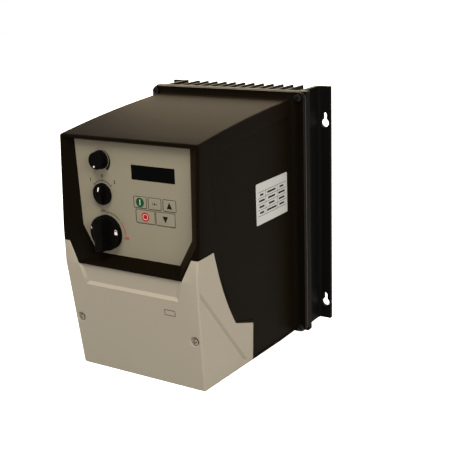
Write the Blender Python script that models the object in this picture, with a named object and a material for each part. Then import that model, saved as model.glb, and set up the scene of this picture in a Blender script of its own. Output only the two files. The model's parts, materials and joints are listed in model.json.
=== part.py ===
"""Wall-mounted variable frequency drive: a sealed plastic housing with local controls on a finned sink.

Frame: +X to the right, +Z up, the front faces -Y and the wall stands behind at +Y. Units are metres.
The origin lies under the middle of the bounding box, level with the bottom edge of the part.
A depth is a distance from the wall towards the front, and at() turns it into a Y coordinate.
"""

import math

import bmesh
import bpy
from mathutils import Vector

# Fits
GAP = 0.0003
HOLE_PLAY = 0.0004

# Heat sink with its mounting flanges
FLANGE_WIDTH = 0.188
FLANGE_HEIGHT = 0.245
FLANGE_THICK = 0.004
KEYHOLE_EDGE = 0.006
KEYHOLE_LOW_EDGE = 0.026
KEYHOLE_TOP_EDGE = 0.028
KEYHOLE_BORE = 0.0085
KEYHOLE_SLOT = 0.0042
KEYHOLE_DROP = 0.0085
BASE_INSET = 0.0058
BASE_THICK = 0.0075
SINK_INSET = 0.0069
SINK_WALL = 0.0045
SINK_FILLET = 0.003
FIN_DEPTH = 0.0365
FIN_COUNT = 12
FIN_END = 0.01432
FIN_ROOT = 0.0034
FIN_TIP = 0.0020
FIN_SETBACK = 0.001
BASE_WIDTH = FLANGE_WIDTH - 2 * BASE_INSET
SINK_WIDTH = BASE_WIDTH - 2 * SINK_INSET
FIN_PITCH = (SINK_WIDTH - 2 * SINK_WALL - 2 * FIN_END) / (FIN_COUNT - 1)

# Moulded housing
NOSE_DEPTH = 0.2193
HOUSING_WALL = 0.003
RIM_THICK = 0.0054
RIM_CORNER = 0.006
RIM_FOOT = 0.0005
COVE = 0.006
BODY_INSET = 0.0117
BODY_DRAFT = 0.0012
FOOT_DRAFT = 0.0052
CREASE_RISE = 0.0143
CREASE_FOOT_RUN = 0.029
BODY_BEVEL = 0.002
TOP_REAR_DROP = 0.0062
TOP_FALL = 0.0156
TOP_CROWN = 0.0021
HOOD_HEIGHT = 0.1175
HOOD_LEAN = 0.0085
HOOD_LIP = 0.0022
HOOD_FLARE_RISE = 0.0323
FOOT_LEAN = 0.0098
SIDE_RECESS = 0.0008
SIDE_RECESS_TOP = 0.016
SIDE_RECESS_STRIP = 0.0025
SIDE_RECESS_LEAN = 0.006
BODY_REAR_WIDTH = BASE_WIDTH - 2 * BODY_INSET
BODY_FRONT_WIDTH = BODY_REAR_WIDTH - 2 * BODY_DRAFT
TOP_REAR_Z = FLANGE_HEIGHT - TOP_REAR_DROP
TOP_FRONT_Z = TOP_REAR_Z - TOP_FALL
NOSE_Z = TOP_FRONT_Z - HOOD_HEIGHT
HOOD_DEPTH = NOSE_DEPTH - HOOD_LEAN
FOOT_DEPTH = NOSE_DEPTH - FOOT_LEAN
HOOD_FLARE_Z = NOSE_Z + HOOD_FLARE_RISE

# Chin of the hood, where it meets the terminal cover
CHIN_INSET = 0.0182
CHIN_EAR = 0.0099
CHIN_WIDTH = BODY_FRONT_WIDTH - 2 * CHIN_INSET
CHIN_EAR_WIDTH = CHIN_WIDTH + 2 * CHIN_EAR

# Terminal cover
COVER_WALL = 0.003
COVER_EAR_RISE = 0.0200
COVER_PEAK_RISE = 0.0014
COVER_PEAK_SETBACK = 0.0253
COVER_SHOULDER_RUN = 0.033
COVER_SHOULDER_Z = 0.0495
COVER_HEEL_RUN = 0.029
COVER_HEEL_STEP = 0.010
COVER_SWEEP = 0.0145
POCKET_DEPTH = 0.0018
POCKET_HEIGHT = 0.0167
POCKET_TAPER = 0.0086
POCKET_SLOPE = 0.0032
GROOVE_TOP_DROP = 0.0073
GROOVE_FOOT_RUN = 0.0050
GROOVE_FOOT_RISE = 0.0040
GROOVE_SETBACK = 0.0028
GROOVE_WIDTH = 0.0038
GROOVE_DEPTH = 0.0020
COVER_TOP_Z = NOSE_Z + COVER_EAR_RISE
COVER_PEAK_Z = COVER_TOP_Z + COVER_PEAK_RISE
CREASE_FRONT_Z = COVER_TOP_Z + CREASE_RISE
COVER_PEAK_DEPTH = NOSE_DEPTH - COVER_PEAK_SETBACK
COVER_SHOULDER_DEPTH = COVER_PEAK_DEPTH - COVER_SHOULDER_RUN
COVER_HEEL_DEPTH = COVER_SHOULDER_DEPTH - COVER_HEEL_RUN
COVER_HEEL_Z = COVER_SHOULDER_Z - COVER_HEEL_STEP
POCKET_FLOOR_Z = NOSE_Z - POCKET_HEIGHT
POCKET_FLOOR_WIDTH = CHIN_WIDTH - 2 * POCKET_TAPER
GROOVE_TOP_Z = NOSE_Z - GROOVE_TOP_DROP
GROOVE_FOOT_DEPTH = COVER_HEEL_DEPTH + GROOVE_FOOT_RUN

# Fasteners
SCREW_RADIUS = 0.0020
SCREW_HEAD = 0.0036
SCREW_HEAD_HEIGHT = 0.0024
RIM_SCREW_INSET = 0.0052
SCREW_GRIP = 0.005
COVER_SCREW_EDGE = 0.0108
COVER_SCREW_Z = 0.0495
COVER_SCREW_HEAD = 0.0032
COVER_SCREW_HEAD_HEIGHT = 0.0017
COVER_SCREW_SINK = 0.0016
COVER_SCREW_LENGTH = 0.011
COVER_DISH_RADIUS = 0.0050
COVER_DISH_DEPTH = 0.0013
BOARD_SCREW_RADIUS = 0.0015
BOARD_SCREW_HEAD = 0.0028
BOARD_SCREW_HEAD_HEIGHT = 0.0018
COVER_SCREW_X = BODY_FRONT_WIDTH / 2 - COVER_SCREW_EDGE

# Opening of the terminal bay, and the seals
ACCESS_SCREW_CLEAR = 0.0075
ACCESS_LOW_Z = 0.016
ACCESS_TOP_DROP = 0.0077
SEAL_THICK = 0.0010
COVER_SEAL_THICK = 0.0014
COVER_SEAL_WIDTH = 0.0030
COVER_SEAL_MARGIN = 0.0006
ACCESS_WIDTH = 2 * (COVER_SCREW_X - ACCESS_SCREW_CLEAR)
ACCESS_HIGH_Z = NOSE_Z - ACCESS_TOP_DROP

# Control panel
PANEL_SINK = 0.0145
PANEL_THICK = 0.003
PANEL_SIDE = 0.0124
PANEL_TAPER = 0.0024
PANEL_FOOT_INSET = 0.0106
PANEL_TOP_DROP = 0.0048
PANEL_WAIST_DROP = 0.0798
PANEL_FOOT_RISE = 0.0083
LEDGE = 0.005
LEDGE_THICK = 0.0026
BOSS_RADIUS = 0.0032
BOSS_BORE = 0.0036
BOSS_BORE_DEPTH = 0.008
PANEL_DEPTH = NOSE_DEPTH - PANEL_SINK
PANEL_TOP_WIDTH = BODY_FRONT_WIDTH - 2 * PANEL_SIDE
PANEL_WAIST_WIDTH = PANEL_TOP_WIDTH - 2 * PANEL_TAPER
PANEL_FOOT_WIDTH = CHIN_WIDTH - 2 * PANEL_FOOT_INSET
PANEL_TOP_Z = TOP_FRONT_Z - PANEL_TOP_DROP
PANEL_WAIST_Z = PANEL_TOP_Z - PANEL_WAIST_DROP
PANEL_FOOT_Z = NOSE_Z + PANEL_FOOT_RISE

# Display
DISPLAY_X = 0.0227
DISPLAY_DROP = 0.0252
DISPLAY_WIDTH = 0.046
DISPLAY_HEIGHT = 0.0128
WINDOW_THICK = 0.002
DISPLAY_MODULE_MARGIN = 0.0025
DISPLAY_Z = PANEL_TOP_Z - DISPLAY_DROP

# Keys
KEY_TRAVEL = 0.0006
KEY_PROUD = 0.0002
KEY_LIP = 0.0008
KEY_LIP_THICK = 0.0012
KEY_CORNER = 0.0008
UPPER_KEY_WIDTH = 0.013
UPPER_KEY_HEIGHT = 0.0098
UPPER_KEY_PITCH = 0.01575
UPPER_KEY_DROP = 0.0517
LOWER_KEY_WIDTH = 0.0198
LOWER_KEY_HEIGHT = 0.0115
LOWER_KEY_PITCH = 0.0216
LOWER_KEY_DROP = 0.0644
KEYPAD_X = 0.0229
KEY_SWITCH = 0.006
UPPER_KEY_Z = PANEL_TOP_Z - UPPER_KEY_DROP
LOWER_KEY_Z = PANEL_TOP_Z - LOWER_KEY_DROP

# Rotary controls, one column on the left of the panel
SPEED_EDGE = 0.0294
SPEED_DROP = 0.0167
SPEED_RADIUS = 0.0085
SPEED_HEIGHT = 0.0085
SPEED_TAPER = 0.92
SELECTOR_EDGE = 0.0290
SELECTOR_DROP = 0.0481
SELECTOR_RADIUS = 0.010
SELECTOR_HEIGHT = 0.0078
SELECTOR_BASE = 0.0032
SELECTOR_GRIP = 0.0065
SELECTOR_GRIP_SPAN = 0.94
ISOLATOR_EDGE = 0.0314
ISOLATOR_DROP = 0.0836
ISOLATOR_RADIUS = 0.0163
ISOLATOR_HEIGHT = 0.0155
ISOLATOR_BASE = 0.006
ISOLATOR_GRIP = 0.0105
ISOLATOR_GRIP_SPAN = 0.95
SHAFT_RADIUS = 0.002
BUSH_RADIUS = 0.0035
BUSH_STAND = 0.0016
NUT_RADIUS = 0.0052
NUT_THICK = 0.0012
KNOB_WALL = 0.0014
KNOB_STANDOFF = 0.0006
POT_RADIUS = 0.008
POT_THICK = 0.009
SELECTOR_BODY = 0.020
SELECTOR_BODY_THICK = 0.009
ISOLATOR_BODY = 0.044
ISOLATOR_BODY_THICK = 0.034
ISOLATOR_NECK_RADIUS = 0.008
ISOLATOR_NUT_RADIUS = 0.0115
ISOLATOR_SHAFT_RADIUS = 0.004
SHAFT_SOCKET = 0.005
SPEED_X = SPEED_EDGE - PANEL_TOP_WIDTH / 2
SPEED_Z = PANEL_TOP_Z - SPEED_DROP
SELECTOR_X = SELECTOR_EDGE - PANEL_TOP_WIDTH / 2
SELECTOR_Z = PANEL_TOP_Z - SELECTOR_DROP
ISOLATOR_X = ISOLATOR_EDGE - PANEL_TOP_WIDTH / 2
ISOLATOR_Z = PANEL_TOP_Z - ISOLATOR_DROP

# Control board and what it carries
BOARD_THICK = 0.0016
CONTROL_BOARD_SINK = 0.013
CONTROL_BOARD_SIDE = 0.0069
CONTROL_BOARD_TOP_DROP = 0.0064
CONTROL_BOARD_FOOT_DROP = 0.0477
ISOLATOR_NOTCH_MARGIN = 0.0025
CONTROL_TERMINAL_WAYS = 11
CONTROL_TERMINAL_PITCH = 0.0051
CONTROL_TERMINAL_HEIGHT = 0.011
CONTROL_TERMINAL_DEPTH = 0.012
CONTROL_TERMINAL_X = -0.012
CONTROL_TERMINAL_RISE = 0.010
DATA_PORT_SIZE = (0.016, 0.014, 0.0135)
DATA_PORT_EDGE = 0.016
DATA_PORT_RISE = 0.014
CONTROL_BOARD_WIDTH = PANEL_TOP_WIDTH - 2 * CONTROL_BOARD_SIDE
CONTROL_BOARD_TOP_Z = PANEL_TOP_Z - CONTROL_BOARD_TOP_DROP
DATA_PORT_X = CONTROL_BOARD_WIDTH / 2 - DATA_PORT_EDGE
CONTROL_BOARD_LOW_Z = NOSE_Z - CONTROL_BOARD_FOOT_DROP
CONTROL_TERMINAL_Z = CONTROL_BOARD_LOW_Z + CONTROL_TERMINAL_RISE
DATA_PORT_Z = CONTROL_BOARD_LOW_Z + DATA_PORT_RISE

# Power board and what it carries
POWER_BOARD_SIDE = 0.0125
POWER_BOARD_LOW_Z = 0.024
POWER_BOARD_TOP_DROP = 0.031
SUPPORT_RADIUS = 0.0035
SUPPORT_INSET = 0.007
SUPPORT_PEG = 0.005
SUPPORT_HEAD = 0.0036
MODULE_WIDTH = 0.062
MODULE_HEIGHT = 0.045
MODULE_THICK = 0.012
MODULE_DROP = 0.064
CAPACITOR_RADIUS = 0.0175
CAPACITOR_LENGTH = 0.050
CAPACITOR_PITCH = 0.042
CAPACITOR_DROP = 0.024
CHOKE_RADIUS = 0.016
CHOKE_BORE = 0.008
CHOKE_THICK = 0.014
CHOKE_EDGE = 0.028
CHOKE_Z = 0.092
RELAY_SIZE = (0.020, 0.016, 0.028)
RELAY_EDGE = 0.016
RELAY_Z = 0.098
POWER_TERMINAL_WAYS = 4
POWER_TERMINAL_PITCH = 0.0115
POWER_TERMINAL_HEIGHT = 0.016
POWER_TERMINAL_DEPTH = 0.022
POWER_TERMINAL_X = 0.032
POWER_TERMINAL_Z = 0.046
EARTH_STUD_Z = 0.014
EARTH_STUD_STAND = 0.002
POWER_BOARD_WIDTH = BODY_REAR_WIDTH - 2 * POWER_BOARD_SIDE
POWER_BOARD_TOP_Z = FLANGE_HEIGHT - POWER_BOARD_TOP_DROP
CHOKE_X = CHOKE_EDGE - POWER_BOARD_WIDTH / 2
RELAY_X = POWER_BOARD_WIDTH / 2 - RELAY_EDGE
MODULE_Z = POWER_BOARD_TOP_Z - MODULE_DROP
CAPACITOR_Z = POWER_BOARD_TOP_Z - CAPACITOR_DROP

# Ribbon cable between the boards
RIBBON_X = 0.022
RIBBON_RISE = 0.0183
RIBBON_WIDTH = 0.024
RIBBON_THICK = 0.0012
RIBBON_SAG = 0.012
RIBBON_STEPS = 14
CONNECTOR_HEIGHT = 0.006
CONNECTOR_LENGTH = 0.0065
RIBBON_Z = NOSE_Z + RIBBON_RISE

# Cable entries in the bottom wall
ENTRY_POWER_RADIUS = 0.0135
ENTRY_CONTROL_RADIUS = 0.011
ENTRY_PITCH = 0.044
ENTRY_SETBACK = 0.038
PLUG_LIP = 0.002
PLUG_LIP_THICK = 0.002
PLUG_RECESS = 0.0005
ENTRY_DEPTH = COVER_HEEL_DEPTH - ENTRY_SETBACK

# Facets
ROUND = 32
MIDDLE_ROUND = 18
SMALL_ROUND = 12
OVERSHOOT = 0.004
SLIVER = 0.00001

# Places along the depth, from the wall forwards
BASE_FRONT = FIN_DEPTH + BASE_THICK
RIM_REAR = BASE_FRONT + SEAL_THICK + 2 * GAP
RIM_FRONT = RIM_REAR + RIM_THICK
PANEL_REAR = PANEL_DEPTH - PANEL_THICK
LEDGE_FRONT = PANEL_REAR - GAP
LEDGE_REAR = LEDGE_FRONT - LEDGE_THICK
BOARD_FRONT = PANEL_REAR - CONTROL_BOARD_SINK
BOARD_REAR = BOARD_FRONT - BOARD_THICK
MODULE_FRONT = BASE_FRONT + GAP + MODULE_THICK
POWER_BOARD_REAR = MODULE_FRONT + GAP
POWER_BOARD_FRONT = POWER_BOARD_REAR + BOARD_THICK
COVER_SEAL_SPACE = COVER_SEAL_THICK + 2 * GAP
WALL_Y = max(PANEL_DEPTH + ISOLATOR_HEIGHT, NOSE_DEPTH) / 2


def at(depth):
    """World Y of the plane that lies this depth in front of the wall."""
    return WALL_Y - depth


def blend(a, b, t):
    """Value part of the way from a to b."""
    return a + (b - a) * t


def half_width(depth):
    """Half width of the drafted body at a depth."""
    t = (depth - RIM_FRONT) / (HOOD_DEPTH - RIM_FRONT)
    return blend(BODY_REAR_WIDTH, BODY_FRONT_WIDTH, t) / 2


def top_z(depth):
    """Height of the domed top: a straight fall to the front plus a shallow crown."""
    t = (HOOD_DEPTH - depth) / (HOOD_DEPTH - RIM_FRONT)
    return blend(TOP_FRONT_Z, TOP_REAR_Z, t) + 4 * TOP_CROWN * t * (1 - t)


def front_depth(z):
    """Depth of the front face: it leans out from the foot to the nose, and back to the hood's top."""
    if z <= NOSE_Z:
        return blend(FOOT_DEPTH, NOSE_DEPTH, z / NOSE_Z)
    return blend(NOSE_DEPTH, HOOD_DEPTH, (z - NOSE_Z) / (TOP_FRONT_Z - NOSE_Z))


def cover_rear(z):
    """Depth of the cover's swept rear edge between its shoulder and its peak."""
    t = (COVER_PEAK_Z - z) / (COVER_PEAK_Z - COVER_SHOULDER_Z)
    drop = COVER_PEAK_DEPTH - COVER_SHOULDER_DEPTH - COVER_SWEEP
    return COVER_PEAK_DEPTH - drop * t - COVER_SWEEP * t * t


# Mesh helpers


def clear_scene():
    """Removes whatever the file holds."""
    for obj in list(bpy.data.objects):
        bpy.data.objects.remove(obj, do_unlink=True)


def mesh_object(name, bm):
    """Puts a closed bmesh into a linked object, with its faces turned out."""
    bmesh.ops.recalc_face_normals(bm, faces=bm.faces)
    mesh = bpy.data.meshes.new(name)
    bm.to_mesh(mesh)
    bm.free()
    obj = bpy.data.objects.new(name, mesh)
    bpy.context.collection.objects.link(obj)
    return obj


def bridge(bm, first, second):
    """Faces between two rings of vertices, where a ring of one vertex is a pole."""
    count = max(len(first), len(second))
    for i in range(count):
        j = (i + 1) % count
        if len(first) == 1:
            bm.faces.new((first[0], second[j], second[i]))
        elif len(second) == 1:
            bm.faces.new((first[i], first[j], second[0]))
        else:
            bm.faces.new((first[i], first[j], second[j], second[i]))


def loft(name, loops):
    """Closed solid through loops of points, capped at both ends."""
    bm = bmesh.new()
    rings = [[bm.verts.new(point) for point in loop] for loop in loops]
    for first, second in zip(rings, rings[1:]):
        bridge(bm, first, second)
    for ring in (rings[0], rings[-1]):
        if len(ring) > 2:
            bm.faces.new(ring)
    return mesh_object(name, bm)


def turned(name, profile, place, count=ROUND):
    """Solid of revolution of a profile of (radius, height) points, whose ends may be poles."""
    loops = []
    for radius, height in profile:
        if radius == 0:
            loops.append([place(0, 0, height)])
            continue
        angles = [2 * math.pi * i / count for i in range(count)]
        loops.append([place(radius * math.cos(a), radius * math.sin(a), height) for a in angles])
    return loft(name, loops)


def ring(name, profile, place, count=ROUND):
    """Solid of revolution of a closed profile that stays clear of its axis."""
    bm = bmesh.new()
    rings = []
    for radius, height in profile:
        angles = [2 * math.pi * i / count for i in range(count)]
        points = [place(radius * math.cos(a), radius * math.sin(a), height) for a in angles]
        rings.append([bm.verts.new(point) for point in points])
    for first, second in zip(rings, rings[1:] + rings[:1]):
        bridge(bm, first, second)
    return mesh_object(name, bm)


def facing_front(x, z):
    """Place for turned pieces on an axis along the depth: heights are depths."""
    return lambda u, v, depth: (x + u, at(depth), z + v)


def facing_up(x, depth):
    """Place for turned pieces on an upright axis: heights are Z."""
    return lambda u, v, height: (x + u, at(depth) + v, height)


def prism_along_depth(name, outline, rear, front):
    """Prism of an (x, z) outline between two depths, each a number or a function of z."""
    loops = []
    for end in (rear, front):
        depth = end if callable(end) else (lambda z, fixed=end: fixed)
        loops.append([(x, at(depth(z)), z) for x, z in outline])
    return loft(name, loops)


def prism_across(name, profile, left, right):
    """Prism of a (depth, z) profile between two functions of depth that give x."""
    loops = []
    for edge in (left, right):
        loops.append([(edge(depth), at(depth), z) for depth, z in profile])
    return loft(name, loops)


def prism_up(name, outline, low, high):
    """Prism of an (x, depth) outline between two heights."""
    loops = []
    for z in (low, high):
        loops.append([(x, at(depth), z) for x, depth in outline])
    return loft(name, loops)


def crease_z(depth):
    """Height at which a side folds inwards: it rises to the front from the foot of the crease."""
    foot = RIM_FRONT + CREASE_FOOT_RUN
    return CREASE_FRONT_Z * (depth - foot) / (front_depth(CREASE_FRONT_Z) - foot)


def fold_half(depth, z):
    """Half width of the side's lower plane, which folds in by the foot's draft at the front corner."""
    drop = FOOT_DRAFT / crease_z(FOOT_DEPTH)
    return half_width(depth) - drop * (crease_z(depth) - z)


def fold_cutter(side, inset):
    """Space beyond the side's lower plane, set in by a distance."""
    far = NOSE_DEPTH + 3 * OVERSHOOT
    low = -3 * OVERSHOOT
    high = FLANGE_HEIGHT + OVERSHOOT
    inner = []
    outer = []
    for depth, z in ((0, low), (far, low), (far, high), (0, high)):
        inner.append((side * (fold_half(depth, z) - inset), at(depth), z))
        outer.append((side * BODY_REAR_WIDTH, at(depth), z))
    return loft("fold", [inner, outer])


def body_prism(name, profile, inset):
    """Prism of a (depth, z) profile whose sides follow the drafted body, set in by a distance."""
    prism = prism_across(
        name, profile, lambda d: inset - half_width(d), lambda d: half_width(d) - inset
    )
    for side in (-1, 1):
        combine(prism, fold_cutter(side, inset))
    return prism


def skin_cutter(name, profile, side, depth):
    """Cutter for a (depth, z) profile that goes a little way into one side of the body."""
    inner = side * CHIN_WIDTH / 2
    outer = side * BODY_REAR_WIDTH
    cutter = prism_across(name, profile, lambda d: inner, lambda d: outer)
    far = NOSE_DEPTH + 2 * OVERSHOOT
    low = -2 * OVERSHOOT
    high = FLANGE_HEIGHT
    field = [(0, low), (far, low), (far, high), (0, high)]
    return combine(cutter, body_prism("skin", field, depth))


def box(name, x, z, width, height, rear, front):
    """Upright block centred at (x, z), between two depths."""
    return prism_along_depth(name, rectangle(x, z, width, height), rear, front)


def rectangle(x, z, width, height):
    """Corners of an (x, z) rectangle, counter-clockwise seen from the front."""
    w = width / 2
    h = height / 2
    return [(x - w, z - h), (x + w, z - h), (x + w, z + h), (x - w, z + h)]


def arc(cx, cz, radius, start, end, steps):
    """Points along a circular arc, angles in degrees."""
    points = []
    for i in range(steps + 1):
        a = math.radians(blend(start, end, i / steps))
        points.append((cx + radius * math.cos(a), cz + radius * math.sin(a)))
    return points


def rounded_rectangle(x, z, width, height, radius, steps=3):
    """Outline of a rectangle with round corners, counter-clockwise from the lower right."""
    w = width / 2 - radius
    h = height / 2 - radius
    points = arc(x + w, z - h, radius, -90, 0, steps)
    points += arc(x + w, z + h, radius, 0, 90, steps)
    points += arc(x - w, z + h, radius, 90, 180, steps)
    points += arc(x - w, z - h, radius, 180, 270, steps)
    return points


def settle(obj):
    """Applies an object's modifiers to its mesh."""
    graph = bpy.context.evaluated_depsgraph_get()
    mesh = bpy.data.meshes.new_from_object(obj.evaluated_get(graph))
    old = obj.data
    obj.modifiers.clear()
    obj.data = mesh
    mesh.name = obj.name
    bpy.data.meshes.remove(old)


def combine(target, tool, operation="DIFFERENCE"):
    """Boolean of two solids; the tool is used up."""
    modifier = target.modifiers.new(operation.lower(), "BOOLEAN")
    modifier.operation = operation
    modifier.solver = "EXACT"
    modifier.object = tool
    settle(target)
    bpy.data.objects.remove(tool, do_unlink=True)
    return target


def close_slivers(obj):
    """Joins corners that the cuts left almost in one place, so that no sliver stays open."""
    bm = bmesh.new()
    bm.from_mesh(obj.data)
    bmesh.ops.remove_doubles(bm, verts=bm.verts, dist=SLIVER)
    bm.to_mesh(obj.data)
    bm.free()


def join(name, pieces):
    """One object that holds several separate solids."""
    bm = bmesh.new()
    for piece in pieces:
        bm.from_mesh(piece.data)
        bpy.data.objects.remove(piece, do_unlink=True)
    mesh = bpy.data.meshes.new(name)
    bm.to_mesh(mesh)
    bm.free()
    obj = bpy.data.objects.new(name, mesh)
    bpy.context.collection.objects.link(obj)
    return obj


def copy_of(obj, name):
    """A second object with its own copy of the mesh."""
    twin = bpy.data.objects.new(name, obj.data.copy())
    bpy.context.collection.objects.link(twin)
    return twin


def soften(obj, width, segments=2, angle=40):
    """Rounds the edges that are sharper than an angle."""
    modifier = obj.modifiers.new("soft_edges", "BEVEL")
    modifier.width = width
    modifier.segments = segments
    modifier.limit_method = "ANGLE"
    modifier.angle_limit = math.radians(angle)
    modifier.use_clamp_overlap = True
    settle(obj)
    return obj


def pivot(obj, x, z, depth):
    """Moves an object's origin onto its joint's axis, with its mesh left in place."""
    origin = Vector((x, at(depth), z))
    for vertex in obj.data.vertices:
        vertex.co -= origin
    obj.location = origin
    return obj


# Materials


def material(name, colour, roughness, metallic=0.0):
    """Principled material of one colour."""
    mat = bpy.data.materials.new(name)
    mat.use_nodes = True
    shader = mat.node_tree.nodes["Principled BSDF"]
    shader.inputs["Base Color"].default_value = (*colour, 1.0)
    shader.inputs["Roughness"].default_value = roughness
    shader.inputs["Metallic"].default_value = metallic
    return mat


FINISHES = {
    "black_paint": ((0.020, 0.018, 0.016), 0.45, 0.0),
    "black_plastic": ((0.028, 0.024, 0.020), 0.42, 0.0),
    "grey_plastic": ((0.47, 0.44, 0.39), 0.5, 0.0),
    "panel_film": ((0.44, 0.41, 0.36), 0.5, 0.0),
    "tinted_window": ((0.006, 0.005, 0.005), 0.12, 0.0),
    "knob_plastic": ((0.012, 0.011, 0.010), 0.3, 0.0),
    "rubber_seal": ((0.02, 0.02, 0.02), 0.8, 0.0),
    "steel": ((0.55, 0.54, 0.52), 0.35, 1.0),
    "brass": ((0.72, 0.55, 0.25), 0.35, 1.0),
    "circuit_board": ((0.03, 0.16, 0.06), 0.5, 0.0),
    "terminal_green": ((0.05, 0.28, 0.11), 0.5, 0.0),
    "terminal_grey": ((0.28, 0.29, 0.30), 0.5, 0.0),
    "capacitor_sleeve": ((0.04, 0.05, 0.09), 0.4, 0.0),
    "module_black": ((0.03, 0.03, 0.03), 0.55, 0.0),
    "copper_winding": ((0.48, 0.20, 0.07), 0.35, 1.0),
    "relay_case": ((0.70, 0.69, 0.64), 0.5, 0.0),
    "support_nylon": ((0.75, 0.74, 0.70), 0.5, 0.0),
    "ribbon_grey": ((0.42, 0.42, 0.42), 0.55, 0.0),
}


def finish(obj, name):
    """Gives an object its own material of a named finish, and smooth shading on its rounds."""
    colour, roughness, metallic = FINISHES[name]
    obj.data.materials.clear()
    obj.data.materials.append(material(obj.name + "_" + name, colour, roughness, metallic))
    obj.data.shade_smooth()
    obj.data.set_sharp_from_angle(angle=math.radians(35))
    return obj


# Heat sink


def sink_outline():
    """Plan of the extruded sink, in (x, depth): flanges, side walls, base and comb of fins."""
    flange = FLANGE_WIDTH / 2
    wall = SINK_WIDTH / 2
    base = BASE_WIDTH / 2
    f = SINK_FILLET
    right = [(base, BASE_FRONT), (base, FIN_DEPTH)]
    right += arc(wall + f, FIN_DEPTH - f, f, 90, 180, 2)
    right += arc(wall + f, FLANGE_THICK + f, f, 180, 270, 2)
    right += [(flange, FLANGE_THICK), (flange, 0)]
    right += [(wall - SINK_WALL, 0), (wall - SINK_WALL, FIN_DEPTH)]
    comb = []
    for i in range(FIN_COUNT):
        x = FIN_PITCH * ((FIN_COUNT - 1) / 2 - i)
        comb += [(x + FIN_ROOT / 2, FIN_DEPTH), (x + FIN_TIP / 2, FIN_SETBACK)]
        comb += [(x - FIN_TIP / 2, FIN_SETBACK), (x - FIN_ROOT / 2, FIN_DEPTH)]
    left = [(-x, depth) for x, depth in reversed(right)]
    return right + comb + left


def keyhole(x, z):
    """Outline of a keyhole: a round entry with a narrow slot above it that ends at z."""
    slot = KEYHOLE_SLOT / 2
    bore = KEYHOLE_BORE / 2
    mouth = math.degrees(math.acos(slot / bore))
    outline = arc(x, z, slot, 0, 180, 6)
    outline += arc(x, z - KEYHOLE_DROP, bore, 180 - mouth, 360 + mouth, 14)
    return outline


def rim_screw_places():
    """Centres of the screws at the four corners of the housing's rim, as (x, z)."""
    x = BASE_WIDTH / 2 - RIM_SCREW_INSET
    high = FLANGE_HEIGHT - RIM_SCREW_INSET
    return [(sx * x, z) for sx in (-1, 1) for z in (RIM_SCREW_INSET, high)]


def board_support_places():
    """Centres of the snap-in supports under the power board, as (x, z)."""
    x = POWER_BOARD_WIDTH / 2 - SUPPORT_INSET
    low = POWER_BOARD_LOW_Z + SUPPORT_INSET
    high = POWER_BOARD_TOP_Z - SUPPORT_INSET
    return [(sx * x, z) for sx in (-1, 1) for z in (low, high)]


def corner_name(stem, x, z):
    """Name of a piece that is repeated at the four corners."""
    level = "upper" if z > FLANGE_HEIGHT / 2 else "lower"
    side = "left" if x < 0 else "right"
    return f"{stem}_{level}_{side}"


def plain_hole(x, z, radius, rear, front, count=SMALL_ROUND):
    """Cutter for a round hole along the depth."""
    profile = [(0, rear), (radius, rear), (radius, front), (0, front)]
    return turned("hole", profile, facing_front(x, z), count)


def make_heatsink():
    """Extruded sink whose flanges carry the keyholes, with tapped holes in its base."""
    sink = prism_up("heatsink", sink_outline(), 0, FLANGE_HEIGHT)
    cutters = []
    for sx in (-1, 1):
        for z in (KEYHOLE_LOW_EDGE, FLANGE_HEIGHT - KEYHOLE_TOP_EDGE):
            outline = keyhole(sx * (FLANGE_WIDTH / 2 - KEYHOLE_EDGE), z)
            far = FLANGE_THICK + OVERSHOOT
            cutters.append(prism_along_depth("keyhole", outline, -OVERSHOOT, far))
    hole = SCREW_RADIUS + HOLE_PLAY
    front = BASE_FRONT + OVERSHOOT
    for x, z in rim_screw_places() + [(0, MODULE_Z), (0, EARTH_STUD_Z)]:
        cutters.append(plain_hole(x, z, hole, BASE_FRONT - SCREW_GRIP - GAP, front))
    for x, z in board_support_places():
        cutters.append(plain_hole(x, z, hole, BASE_FRONT - SUPPORT_PEG - GAP, front))
    return finish(combine(sink, join("sink_cutters", cutters)), "black_paint")


# Housing


def body_profile():
    """Side view of the body, in (depth, z): foot, nose, hood and domed top."""
    rear = RIM_REAR + RIM_THICK / 2
    steps = 8
    profile = [(rear, 0), (FOOT_DEPTH, 0), (NOSE_DEPTH, NOSE_Z)]
    for i in range(steps + 1):
        depth = blend(HOOD_DEPTH, rear, i / steps)
        profile.append((depth, top_z(depth)))
    return profile


def make_body():
    """Outer form of housing and cover together, with softened edges."""
    return soften(body_prism("body", body_profile(), 0), BODY_BEVEL)


def rim_loop(depth, half, top, foot):
    """Rounded outline of the housing's rear rim at a depth, between two heights."""
    outline = rounded_rectangle(0, (top + foot) / 2, 2 * half, top - foot, RIM_CORNER)
    return [(x, at(depth), z) for x, z in outline]


def make_rim():
    """Rear rim that bolts to the sink, with a cove that runs into the body."""
    half = BASE_WIDTH / 2
    loops = [rim_loop(depth, half, FLANGE_HEIGHT, RIM_FOOT) for depth in (RIM_REAR, RIM_FRONT)]
    steps = 4
    inner = half_width(RIM_FRONT + COVE) - GAP
    roof = top_z(RIM_FRONT + COVE) - GAP
    for i in range(steps + 1):
        a = math.pi / 2 * i / steps
        out = COVE * (1 - math.sin(a))
        foot = 2 * RIM_FOOT + (COVE - out) / 4
        loops.append(rim_loop(RIM_FRONT + COVE * (1 - math.cos(a)), inner + out, roof + out, foot))
    return loft("rim", loops)


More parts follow.
